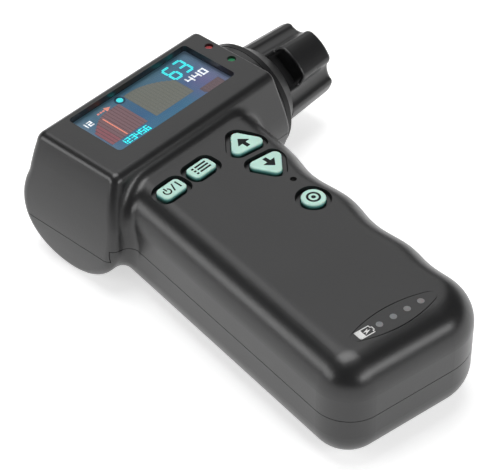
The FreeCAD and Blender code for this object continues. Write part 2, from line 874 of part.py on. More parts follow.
def plate(label, low, high, thickness, placement, corner=None):
    """A flat rectangular body between two corners given as expressions."""
    body = doc.addObject("PartDesign::Body", label)
    sketch = new_sketch(body, "XY_Plane", f"{label}_outline")
    (x1, y1), (x2, y2) = low, high
    sketch_loop(sketch, [(x1, y1), (x2, y1), (x2, y2), (x1, y2)])
    pad = body.newObject("PartDesign::Pad", f"{label}_pad")
    pad.Profile = sketch
    pad.setExpression("Length", thickness)
    if corner:
        doc.recompute()
        upright = [f"Edge{index}" for index, edge in enumerate(pad.Shape.Edges, start=1)
                   if edge.BoundBox.ZLength > 0.5 and edge.BoundBox.XLength < 1e-4]
        fillet = body.newObject("PartDesign::Fillet", f"{label}_corners")
        fillet.Base = (pad, upright)
        fillet.setExpression("Radius", corner)
    body.Placement = placement
    return keep(body, label)


def drill(body, label, points, radius):
    """Through holes in a flat body at points in its own plane."""
    sketch = new_sketch(body, "XY_Plane", f"{label}_holes")
    for index, (x, y) in enumerate(points):
        sketch.addGeometry(Part.Circle(Vector(x, y, 0), Vector(0, 0, 1), radius), False)
    pocket = body.newObject("PartDesign::Pocket", f"{label}_drilling")
    pocket.Profile = sketch
    pocket.Type = "ThroughAll"
    pocket.Midplane = True
    return pocket


# ---------------------------------------------------------------- nose and head fittings

def make_nose_collar():
    lip_back = size("head_right") - size("wall") - 0.05 - size("nose_lip_thickness")
    seat = f"sizes.head_right - {lip_back:.3f} + 0.05"
    lip_front = "sizes.nose_lip_thickness"
    front = f"sizes.nose_front - {lip_back:.3f}"
    hollow = "sizes.nose_spigot_radius - sizes.nose_wall"
    web = f"{front} - sizes.nose_web"
    hub = f"{front} - sizes.bush_length"
    profile = [
        (hollow, "0"),
        ("sizes.nose_lip_radius", "0"),
        ("sizes.nose_lip_radius", lip_front),
        ("sizes.nose_spigot_radius", lip_front),
        ("sizes.nose_spigot_radius", seat),
        ("sizes.nose_back_radius", seat),
        ("sizes.nose_back_radius", f"{seat} + sizes.nose_band"),
        ("sizes.nose_back_radius - sizes.nose_step", f"{seat} + sizes.nose_band + 0.6*sizes.nose_step"),
        ("sizes.nose_front_radius + sizes.nose_rim", f"{front} - sizes.nose_rim"),
        ("sizes.nose_front_radius", front),
        ("sizes.bush_radius", front),
        ("sizes.bush_radius", hub),
        ("sizes.nose_hub_radius", hub),
        ("sizes.nose_hub_radius", web),
        (hollow, web),
    ]
    turned("nose_collar", profile, axis_place(lip_back))


def make_nose_bush():
    bore = "sizes.output_shaft_radius + sizes.running_clearance"
    profile = [
        (bore, "0"),
        ("sizes.bush_radius", "0"),
        ("sizes.bush_radius", "sizes.bush_length"),
        (bore, "sizes.bush_length"),
    ]
    turned("nose_bush", profile, axis_place(size("nose_front") - size("bush_length")))


# ---------------------------------------------------------------- display

def make_display():
    x, y = size("window_centre_x"), size("window_centre_y")
    half_l = "0.5*sizes.window_length + sizes.lens_overlap"
    half_w = "0.5*sizes.window_width + sizes.lens_overlap"
    back_l = "-0.5*sizes.window_length - sizes.lens_overlap"
    back_w = "-0.5*sizes.window_width - sizes.lens_overlap"
    low, high = (back_l, back_w), (half_l, half_w)
    top = size("display_height") - size("wall")
    for label, thickness in (("display_window", "lens_thickness"), ("lcd_panel", "panel_thickness"),
                             ("lcd_backlight", "backlight_thickness")):
        top -= size(thickness)
        plate(label, low, high, f"sizes.{thickness}", head_place(x, y, top))
    board = plate("display_board", ("-sizes.display_board_left", "-sizes.display_board_near"),
                  ("sizes.display_board_right", "sizes.display_board_far"),
                  "sizes.display_board_thickness", head_place(0, 0, board_under_display()))
    return board


def make_status_leds():
    base = board_under_display() + size("display_board_thickness")
    for label, (x, y) in zip(("red_status_led", "green_status_led"), status_points()):
        led = doc.addObject("Part::Cylinder", label)
        bind(led, Radius="sizes.status_led_radius",
             Height=f"sizes.display_height - sizes.status_recess - {base:.3f}")
        led.Placement = head_place(x, y, base)
        keep(led, label)


def make_usb_socket():
    length, height, depth = size("port_length"), size("port_height"), size("port_depth")
    shell = Part.makeBox(length, depth, height)
    rim = [edge for edge in shell.Edges if edge.BoundBox.YLength > depth / 2]
    shell = shell.makeFillet(height / 2 - 0.15, rim)
    mouth = Part.makeBox(length - 0.6, depth, height - 0.6, Vector(0.3, 1.0, 0.3))
    long_rim = [edge for edge in mouth.Edges if edge.BoundBox.YLength > depth / 2]
    mouth = mouth.makeFillet(height / 2 - 0.5, long_rim)
    tongue = Part.makeBox(length - 2.8, depth - 2.2, 0.7, Vector(1.4, 1.0, height / 2 - 0.35))
    socket = doc.addObject("Part::Feature", "usb_socket")
    socket.Shape = shell.cut(mouth).fuse(tongue)
    socket.Placement = head_place(-size("port_place") - length / 2, size("block_far") - 0.3 - depth,
                                  board_under_display() - height)
    keep(socket, "usb_socket")


def make_pickup_disc():
    disc = doc.addObject("Part::Cylinder", "pickup_disc")
    bind(disc, Radius="sizes.pickup_radius", Height="sizes.pickup_thickness")
    far = size("display_board_far") - size("pickup_radius") - size("pickup_edge")
    disc.Placement = head_place(size("pickup_x"), far, board_under_display() - size("pickup_thickness"))
    keep(disc, "pickup_disc")


# ---------------------------------------------------------------- main board

def make_main_board():
    body = doc.addObject("PartDesign::Body", "main_board")
    sketch = new_sketch(body, "XY_Plane", "main_board_outline")
    wide, narrow = "sizes.board_half_width", "sizes.board_tail_half_width"
    near, step, end = "-sizes.board_near", "-sizes.board_step", "-sizes.board_end"
    sketch_loop(sketch, [(f"-{wide}", near), (f"-{wide}", step), (f"-{narrow}", step), (f"-{narrow}", end),
                         (narrow, end), (narrow, step), (wide, step), (wide, near)])
    pad = body.newObject("PartDesign::Pad", "main_board_pad")
    pad.Profile = sketch
    pad.setExpression("Length", "sizes.board_thickness")
    drill(body, "main_board", BOARD_SCREWS, size("board_screw_radius") + 0.15)
    body.Placement = grip_place(0, 0, size("board_top") - size("board_thickness"))
    keep(body, "main_board")


def make_board_screws():
    screws = []
    under = size("board_top") - size("board_thickness")
    for u, v in BOARD_SCREWS:
        head = Part.makeCylinder(2.0, 1.2, grip_point(u, v, under - 1.2))
        shank = Part.makeCylinder(size("board_screw_radius"), size("board_screw_length"), grip_point(u, v, under))
        slot = Part.makeBox(0.6, 2.6, 0.6, Vector(-0.3, -1.3, 0))
        slot.Placement = grip_place(u, v, under - 1.2, turn=25.0)
        screws.append(head.fuse(shank).cut(slot))
    group = doc.addObject("Part::Feature", "board_screws")
    group.Shape = Part.makeCompound(screws)
    keep(group, "board_screws")


def make_reset_button():
    """The small switch under the pin hole, and its plunger."""
    side, base = size("pin_switch_side"), size("board_top")
    height = size("switch_height") - 0.9
    centre = grip_point(*RESET_HOLE, base)
    housing = Part.makeBox(side, side, height, Vector(-side / 2, -side / 2, 0))
    housing.Placement = grip_place(*RESET_HOLE, base)
    radius = size("pin_hole_radius") - 0.1
    hole = Part.makeCylinder(radius + size("plunger_clearance"), 5, centre + Vector(0, 0, height - 1.4))
    switch = doc.addObject("Part::Feature", "reset_switch")
    switch.Shape = housing.cut(hole)
    keep(switch, "reset_switch")
    plunger = doc.addObject("Part::Cylinder", "reset_plunger")
    bottom = base + height - 1.4 + size("key_travel") + 0.1
    bind(plunger, Radius="sizes.pin_hole_radius - 0.1", Height=f"sizes.grip_height - sizes.wall - 0.2 - {bottom:.3f}")
    plunger.Placement = Placement(Vector(centre.x, centre.y, bottom), Rotation())
    keep(plunger, "reset_plunger")


def make_charge_indicator(outer):
    lens = lens_block(0, size("grip_height") - size("charge_lens_depth"), size("grip_height") + 1)
    lens.Placement = grip_place(0, -size("charge_lens_v"))
    window = doc.addObject("Part::Feature", "charge_lens")
    window.Shape = lens.common(outer)
    keep(window, "charge_lens")

    led_height = 0.9
    leds, pipes = [], []
    pipe_bottom = size("board_top") + led_height
    pipe_top = size("grip_height") - size("charge_lens_depth")
    for point in charge_points():
        led = Part.makeBox(1.6, 1.6, led_height, Vector(-0.8, -0.8, 0))
        led.Placement = Placement(point + Vector(0, 0, size("board_top")), grip_place().Rotation)
        leds.append(led)
        pipes.append(Part.makeCylinder(size("charge_dot_radius"), pipe_top - pipe_bottom,
                                       point + Vector(0, 0, pipe_bottom)))
    for label, solids in (("charge_leds", leds), ("charge_light_pipes", pipes)):
        group = doc.addObject("Part::Feature", label)
        group.Shape = Part.makeCompound(solids)
        keep(group, label)


# ---------------------------------------------------------------- battery

def battery_height():
    return size("wall") + size("battery_clearance") + size("battery_radius")


def make_battery():
    radius, length = "sizes.battery_radius", "sizes.battery_length"
    profile = [
        ("0", "0"),
        (f"{radius} - 0.6", "0"),
        (radius, "0.6"),
        (radius, f"{length} - 5.0"),
        (f"{radius} - 0.5", f"{length} - 4.5"),
        (f"{radius} - 0.5", f"{length} - 4.0"),
        (radius, f"{length} - 3.5"),
        (radius, f"{length} - 1.4"),
        (f"{radius} - 0.6", f"{length} - 0.8"),
        ("3.0", f"{length} - 0.8"),
        ("2.7", length),
        ("0", length),
    ]
    start = grip_point(0, -size("battery_near") - size("battery_length"), battery_height())
    lie = grip_place().Rotation.multiply(Rotation(Vector(1, 0, 0), -90))
    turned("battery_cell", profile, Placement(start, lie))


def make_battery_foam():
    low = battery_height() + size("battery_radius") + 0.02
    thickness = size("board_top") - size("board_thickness") - low
    foam = plate("battery_foam", ("-0.5*sizes.foam_width", "-sizes.foam_far"),
                 ("0.5*sizes.foam_width", "-sizes.foam_near"), f"{thickness:.3f}",
                 grip_place(0, 0, low))
    return foam


# ---------------------------------------------------------------- gears

def involute(angle):
    return math.tan(angle) - angle


PRESSURE_ANGLE = math.radians(20)


def half_tooth(teeth, radius, inward):
    """Half the angle that a tooth takes up at a radius."""
    pitch = size("gear_module") * teeth / 2
    base = pitch * math.cos(PRESSURE_ANGLE)
    half = math.pi * size("gear_module") / 4 - size("gear_backlash") / 2
    angle = math.acos(base / radius) if radius > base else 0.0
    swell = involute(PRESSURE_ANGLE) - involute(angle)
    return half / pitch + (-swell if inward else swell)


def tooth_outline(teeth, inward=False, steps=4):
    """Closed outline of a gear, or of the opening in a ring gear, with a tooth on the X axis."""
    pitch = size("gear_module") * teeth / 2
    outwards = -1 if inward else 1
    root = pitch - outwards * size("gear_dedendum")
    tip = pitch + outwards * size("gear_addendum")
    radii = [root + (tip - root) * step / steps for step in range(steps + 1)]
    points = []
    for index in range(teeth):
        middle = 2 * math.pi * index / teeth
        for radius in radii:
            angle = middle - half_tooth(teeth, radius, inward)
            points.append((radius * math.cos(angle), radius * math.sin(angle)))
        for radius in reversed(radii):
            angle = middle + half_tooth(teeth, radius, inward)
            points.append((radius * math.cos(angle), radius * math.sin(angle)))
    return points


def gear_prism(teeth, length, bore=0.0, inward=False):
    """A gear standing on the XY plane; with inward teeth, the plug that cuts a ring gear."""
    gear = prism(tooth_outline(teeth, inward), 0, length)
    if bore:
        gear = gear.cut(Part.makeCylinder(bore, length))
    return gear


def gear_stage_starts():
    """Back faces of the two rows of planets, measured from the back of the gearbox."""
    return 1.8, 8.6


PLANET_LENGTH = 4.4
CARRIER_THICKNESS = 1.8


def make_gearbox_housing():
    length = size("gearbox_length")
    opening = gear_prism(RING_TEETH, length - 1.2, inward=True)
    opening.translate(Vector(0, 0, 1.2))
    housing = Part.makeCylinder(size("gearbox_radius"), length)
    housing = housing.cut([opening, Part.makeCylinder(size("motor_boss_radius") + 0.05, 2)])
    feature = doc.addObject("Part::Feature", "gearbox_housing")
    feature.Shape = housing
    feature.Placement = axis_place(size("motor_front"))
    keep(feature, "gearbox_housing")


def planet_places(start):
    for index in range(PLANETS):
        turn = 360.0 * index / PLANETS
        centre = Vector(size("gear_offset"), 0, start)
        yield Placement(Vector(), Rotation(Vector(0, 0, 1), turn)).multiply(Placement(centre, Rotation()))


def make_planets():
    bore = size("planet_pin_radius") + size("running_clearance")
    half_pitch = Rotation(Vector(0, 0, 1), 180.0 / PLANET_TEETH)
    for stage, start in zip(("first", "second"), gear_stage_starts()):
        for index, place in enumerate(planet_places(start), start=1):
            label = f"{stage}_planet_{index}"
            planet = doc.addObject("Part::Feature", label)
            planet.Shape = gear_prism(PLANET_TEETH, PLANET_LENGTH, bore)
            turned_half = place.multiply(Placement(Vector(), half_pitch))
            planet.Placement = axis_place(size("motor_front")).multiply(turned_half)
            keep(planet, label)


def planet_pins(start, reach):
    pins = []
    for place in planet_places(start):
        pins.append(Part.makeCylinder(size("planet_pin_radius"), reach, place.Base))
    return pins


def make_carriers():
    first, second = gear_stage_starts()
    radius = size("gear_offset") + 2.4
    first_plate = first + PLANET_LENGTH + 0.2
    plate_1 = Part.makeCylinder(radius, CARRIER_THICKNESS, Vector(0, 0, first_plate))
    pinion = gear_prism(SUN_TEETH, PLANET_LENGTH + 0.4)
    pinion.translate(Vector(0, 0, first_plate + CARRIER_THICKNESS))
    carrier = plate_1.fuse([pinion] + planet_pins(first, PLANET_LENGTH + 0.2 + 0.5))
    feature = doc.addObject("Part::Feature", "first_carrier")
    feature.Shape = carrier
    feature.Placement = axis_place(size("motor_front"))
    keep(feature, "first_carrier")

    second_plate = second + PLANET_LENGTH + 0.2
    plate_2 = Part.makeCylinder(radius, CARRIER_THICKNESS, Vector(0, 0, second_plate))
    carrier = plate_2.fuse(planet_pins(second, PLANET_LENGTH + 0.2 + 0.5))
    carrier = carrier.cut(Part.makeCylinder(size("output_shaft_radius"), 10, Vector(0, 0, second_plate)))
    feature = doc.addObject("Part::Feature", "output_carrier")
    feature.Shape = carrier
    feature.Placement = axis_place(size("motor_front"))
    keep(feature, "output_carrier")


def make_output_shaft():
    start = size("motor_front") + gear_stage_starts()[1] + PLANET_LENGTH + 0.2
    end = f"sizes.socket_base + sizes.socket_floor - sizes.socket_skin - {start:.3f}"
    profile = [("0", "0"), ("sizes.output_shaft_radius", "0"), ("sizes.output_shaft_radius", end), ("0", end)]
    turned("output_shaft", profile, axis_place(start))


# ---------------------------------------------------------------- motor

def make_motor():
    back = size("motor_front") - size("motor_length")
    place = axis_place(back)
    radius, length = "sizes.motor_radius", "sizes.motor_length"
    inside = "sizes.motor_radius - sizes.motor_can_wall"
    bearing = "sizes.motor_shaft_radius + sizes.running_clearance"
    boss_end = f"{length} + 1.1"
    can = [(inside, "0"), (radius, "0"), (radius, length), ("sizes.motor_boss_radius", length),
           ("sizes.motor_boss_radius", boss_end), (bearing, boss_end), (bearing, f"{length} - 1.0"),
           (inside, f"{length} - 1.0")]
    turned("motor_can", can, place)

    cap_length = "sizes.motor_cap_length"
    cap = [(bearing, "0"), ("4.0", "0"), ("4.0", "1.4"), (f"{radius} - 1.0", "1.4"), (radius, "2.4"),
           (radius, cap_length), (bearing, cap_length)]
    turned("motor_end_cap", cap, axis_place(back - size("motor_cap_length")))

    outer_r = size("motor_radius") - size("motor_can_wall")
    inner_r = outer_r - size("magnet_thickness")
    ring = Part.makeCylinder(outer_r, 16, Vector(0, 0, 3.5)).cut(Part.makeCylinder(inner_r, 20, Vector(0, 0, 2)))
    magnets = []
    for side in (-1, 1):
        sector = Part.makeBox(40, 20, 40, Vector(-20, 2.2 if side > 0 else -22.2, 0))
        magnets.append(ring.common(sector))
    feature = doc.addObject("Part::Feature", "motor_magnets")
    feature.Shape = Part.makeCompound(magnets)
    feature.Placement = place
    keep(feature, "motor_magnets")

    bore = size("motor_shaft_radius")
    core = Part.makeCylinder(size("armature_radius"), size("armature_length"), Vector(0, 0, 4))
    slots = []
    for index in range(3):
        slot = Part.makeBox(10, 1.2, 40, Vector(4.4, -0.6, 0))
        slot.rotate(Vector(), Vector(0, 0, 1), 60 + 120 * index)
        slots.append(slot)
    commutator = Part.makeCylinder(2.2, 3.0, Vector(0, 0, 0.6)).fuse(Part.makeCylinder(1.6, 1.0, Vector(0, 0, 3.4)))
    armature = core.cut(slots).fuse(commutator).cut(Part.makeCylinder(bore, 60, Vector(0, 0, -5)))
    feature = doc.addObject("Part::Feature", "motor_armature")
    feature.Shape = armature
    feature.Placement = place
    keep(feature, "motor_armature")

    shaft_end = f"{length} + {cap_length} + sizes.motor_shaft_reach"
    shaft_r = "sizes.motor_shaft_radius"
    shaft = [("0", "0"), (shaft_r, "0"), (shaft_r, shaft_end), ("0", shaft_end)]
    turned("motor_shaft", shaft, axis_place(back - size("motor_cap_length") + 0.2))

    pinion = doc.addObject("Part::Feature", "motor_pinion")
    pinion.Shape = gear_prism(SUN_TEETH, PLANET_LENGTH + 0.2, size("motor_shaft_radius"))
    pinion.Placement = axis_place(size("motor_front") + gear_stage_starts()[0] - 0.3)
    keep(pinion, "motor_pinion")


def motor_screw_points():
    for index in range(3):
        angle = math.radians(90 + 120 * index)
        yield size("motor_screw_circle") * math.cos(angle), size("motor_screw_circle") * math.sin(angle)


def make_gearbox_front():
    """The cover that closes the gearbox, the bracket that holds it, and their screws."""
    cover_start = size("motor_front") + size("gearbox_length")
    bore = "sizes.output_shaft_radius + sizes.running_clearance"
    ring = [(bore, "0"), ("sizes.gearbox_radius", "0"), ("sizes.gearbox_radius", "sizes.cover_thickness"),
            (bore, "sizes.cover_thickness")]
    cover = turned("gearbox_cover", ring, axis_place(cover_start))
    drill(cover, "gearbox_cover", list(motor_screw_points()), 1.1)

    bracket = doc.addObject("PartDesign::Body", "gearbox_bracket")
    sketch = new_sketch(bracket, "XY_Plane", "gearbox_bracket_outline")
    corner_reach = size("barrel_radius") - size("wall") - size("bracket_clearance")
    wide = f"{math.sqrt(corner_reach ** 2 - size('bracket_half_height') ** 2):.4f}"
    high = "sizes.bracket_half_height"
    sketch_loop(sketch, [(f"-{high}", f"-{wide}"), (high, f"-{wide}"), (high, wide), (f"-{high}", wide)])
    pad = bracket.newObject("PartDesign::Pad", "gearbox_bracket_pad")
    pad.Profile = sketch
    pad.setExpression("Length", "sizes.bracket_thickness")
    drill(bracket, "gearbox_bracket", list(motor_screw_points()), 1.1)
    centre = new_sketch(bracket, "XY_Plane", "gearbox_bracket_bore")
    centre.addGeometry(Part.Circle(Vector(), Vector(0, 0, 1), size("output_shaft_radius") + 0.6), False)
    bore_cut = bracket.newObject("PartDesign::Pocket", "gearbox_bracket_opening")
    bore_cut.Profile = centre
    bore_cut.Type = "ThroughAll"
    bore_cut.Midplane = True
    bracket.Placement = axis_place(bracket_back())
    keep(bracket, "gearbox_bracket")

    screws = []
    front = bracket_back() + size("bracket_thickness")
    for x, y in motor_screw_points():
        head = Part.makeCylinder(1.8, 1.2, Vector(x, y, 0))
        slot = Part.makeBox(3.8, 0.5, 0.6, Vector(x - 1.9, y - 0.25, 0.6))
        shank = Part.makeCylinder(1.0, size("bracket_thickness") + size("cover_thickness"),
                                  Vector(x, y, -size("bracket_thickness") - size("cover_thickness")))
        screws.append(head.cut(slot).fuse(shank))
    feature = doc.addObject("Part::Feature", "motor_screws")
    feature.Shape = Part.makeCompound(screws)
    feature.Placement = axis_place(front)
    keep(feature, "motor_screws")


# ---------------------------------------------------------------- peg socket

def spun(shape, angle):
    """The shape turned about the drive axis."""
    shape.rotate(Vector(0, 0, size("axis_height")), Vector(1, 0, 0), angle)
    return shape


def slot_block(length, width, start, end):
    """A block centred on the drive axis, its length along Y before it is turned."""
    centre = size("axis_height")
    return box_between((start, -length / 2, centre - width / 2), (end, length / 2, centre + width / 2))


LOBE_TURN = -8.0      # how the socket rests
SLOT_TURN = 45.0 + LOBE_TURN


def notch_rim(shape, base):
    """The edges where the end walls of the two notches come out at the lobes."""
    reach = base + size("notch_length")
    rim = []
    for edge in shape.Edges:
        middle = edge.valueAt((edge.FirstParameter + edge.LastParameter) / 2)
        out = math.hypot(middle.y, middle.z - size("axis_height"))
        if abs(middle.x - reach) < 0.05 and out > size("notch_floor_radius") + 1:
            rim.append(edge)
    return rim


def make_peg_socket():
    base, end = size("socket_base"), size("socket_base") + size("socket_length")
    body = cone_x(size("socket_base_radius"), size("socket_end_radius"), base, end)
    groove = size("socket_groove_radius")
    offset_base = size("socket_base_radius") - size("socket_groove_depth") + groove
    offset_end = size("socket_end_radius") - size("socket_groove_depth") + groove
    lean = math.degrees(math.atan((offset_base - offset_end) / size("socket_length")))
    far_rim = [edge for edge in body.Edges if edge.BoundBox.XLength < 1e-4 and edge.BoundBox.XMin > end - 0.1]
    body = body.makeFillet(size("socket_edge"), far_rim)
    cuts = []
    for quarter in range(4):
        channel = Part.makeCylinder(groove, size("socket_length") + 10, Vector(base - 5, 0, 0), Vector(1, 0, 0))
        channel.rotate(Vector(base, 0, 0), Vector(0, 1, 0), lean)
        channel.translate(Vector(0, 0, size("axis_height") + offset_base))
        cuts.append(spun(channel, 90.0 * quarter + LOBE_TURN))
    lobed = body.cut(cuts)
    shoulders = [edge for edge in lobed.Edges if edge.BoundBox.XLength > size("socket_length") / 2
                 and math.hypot(edge.BoundBox.Center.y, edge.BoundBox.Center.z - size("axis_height"))
                 > size("socket_end_radius") - 1]
    lobed = lobed.makeFillet(size("socket_shoulder"), shoulders)
    length, width = size("peg_slot_length"), size("peg_slot_width")
    slot = slot_block(length, width, base + size("socket_floor"), end + 5)
    slot = slot.makeFillet(2.0, [edge for edge in slot.Edges if edge.BoundBox.XLength > 5])
    lobed = lobed.cut(spun(slot, SLOT_TURN))

    half = size("notch_width") / 2
    top = size("axis_height") + size("socket_base_radius") + 3
    notch_low = size("axis_height") + size("notch_floor_radius")
    for turn in (SLOT_TURN, SLOT_TURN + 180):
        notch = box_between((base - 4, -half, notch_low), (base + size("notch_length"), half, top))
        notch = notch.makeFillet(1.5, upright_edges(notch))
        lobed = lobed.cut(spun(notch, turn))
    lobed = lobed.makeFillet(size("notch_edge"), notch_rim(lobed, base))
    shaft = cylinder_x(size("output_shaft_radius"), base - 1, base + size("socket_floor") - size("socket_skin"))
    screw = cylinder_x(size("screw_radius") + 0.1, base, end)
    socket = doc.addObject("Part::Feature", "peg_socket")
    socket.Shape = lobed.cut([shaft, screw])
    keep(socket, "peg_socket")


def make_peg_pads():
    """Two rubber strips on the long sides of the slot."""
    start = size("socket_base") + size("socket_floor") + 0.5
    end = size("socket_base") + size("socket_length") - 1.5
    half = size("peg_slot_width") / 2
    centre = size("axis_height")
    reach = size("peg_slot_length") / 2 - 2.5
    pads = []
    for side in (-1, 1):
        inner = half - size("peg_pad_thickness")
        low, high = sorted((side * inner, side * half))
        pad = box_between((start, -reach, centre + low), (end, reach, centre + high))
        pads.append(spun(pad, SLOT_TURN))
    feature = doc.addObject("Part::Feature", "peg_pads")
    feature.Shape = Part.makeCompound(pads)
    keep(feature, "peg_pads")


def make_socket_screw():
    floor = size("socket_base") + size("socket_floor")
    head = cylinder_x(size("screw_head_radius"), floor, floor + 1.2)
    slot = slot_block(6.0, 0.7, floor + 0.6, floor + 3)
    shank = cylinder_x(size("screw_radius"), floor - size("socket_skin"), floor)
    screw = doc.addObject("Part::Feature", "socket_screw")
    screw.Shape = head.cut(slot).fuse(shank)
    keep(screw, "socket_screw")


# ---------------------------------------------------------------- case screws

def make_case_screws():
    screws = []
    for index, point in enumerate(case_screw_points()):
        seat = size("screw_seat")
        head = Part.makeCylinder(size("screw_head_radius"), size("screw_head_height"),
                                 point + Vector(0, 0, seat - size("screw_head_height")))
        shank = Part.makeCylinder(size("screw_radius"), size("screw_length"), point + Vector(0, 0, seat))
        screw = head.fuse(shank)
        for turn in (10 + 31 * index, 100 + 31 * index):
            slot = Part.makeBox(3.2, 0.7, 0.8, Vector(-1.6, -0.35, 0))
            slot.rotate(Vector(), Vector(0, 0, 1), turn)
            slot.translate(point + Vector(0, 0, seat - size("screw_head_height")))
            screw = screw.cut(slot)
        screws.append(screw)
    group = doc.addObject("Part::Feature", "case_screws")
    group.Shape = Part.makeCompound(screws)
    keep(group, "case_screws")


# ---------------------------------------------------------------- build

def build():
    outer = outer_form()
    inner = inner_form()
    make_front_shell(outer, inner)
    make_back_shell(outer, inner)
    make_nose_collar()
    make_nose_bush()
    make_display()
    make_status_leds()
    make_usb_socket()
    make_pickup_disc()
    make_main_board()
    make_board_screws()
    make_keys()
    make_switches()
    make_reset_button()
    make_charge_indicator(outer)
    make_battery()
    make_battery_foam()
    make_gearbox_housing()
    make_planets()
    make_carriers()
    make_output_shaft()
    make_motor()
    make_gearbox_front()
    make_peg_socket()
    make_peg_pads()
    make_socket_screw()
    make_case_screws()
    doc.recompute()


def check_and_export():
    faults = []
    for item in doc.Objects:
        if "Invalid" in item.State or "Error" in item.State:
            faults.append(f"{item.Name}: {item.State}")
    for piece in parts:
        if piece.Shape.isNull() or not piece.Shape.isValid() or not piece.Shape.Solids:
            faults.append(f"{piece.Label}: no valid shape")
    if faults:
        raise RuntimeError("; ".join(faults))
    os.makedirs("parts", exist_ok=True)
    for piece in parts:
        piece.Shape.exportStep(f"parts/{piece.Label}.step")
        print(f"{piece.Label}: {len(piece.Shape.Solids)} solid(s), {piece.Shape.Volume:.1f} mm3")


build()
check_and_export()
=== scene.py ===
import math

import bpy
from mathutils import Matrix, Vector


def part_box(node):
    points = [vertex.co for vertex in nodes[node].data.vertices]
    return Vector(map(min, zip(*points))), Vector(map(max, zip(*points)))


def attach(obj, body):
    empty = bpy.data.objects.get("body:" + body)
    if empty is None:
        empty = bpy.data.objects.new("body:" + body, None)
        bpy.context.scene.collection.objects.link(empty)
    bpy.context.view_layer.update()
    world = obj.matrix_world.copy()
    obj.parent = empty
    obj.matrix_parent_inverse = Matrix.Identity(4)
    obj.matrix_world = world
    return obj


MM = 0.001
MICRON = 0.001 * MM

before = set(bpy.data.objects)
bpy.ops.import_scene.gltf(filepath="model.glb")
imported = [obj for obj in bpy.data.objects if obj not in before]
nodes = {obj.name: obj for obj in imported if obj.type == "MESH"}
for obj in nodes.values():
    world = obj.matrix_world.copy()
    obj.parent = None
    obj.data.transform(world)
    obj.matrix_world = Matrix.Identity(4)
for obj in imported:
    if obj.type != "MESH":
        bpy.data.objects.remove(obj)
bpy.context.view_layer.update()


# ---------------------------------------------------------------- node work

NOISE_SPAN = (0.3, 0.7)     # nearly all of a noise's values lie between these


def tinted(colour, shares):
    """A colour with each of its channels scaled."""
    return tuple(channel * share for channel, share in zip(colour, shares))


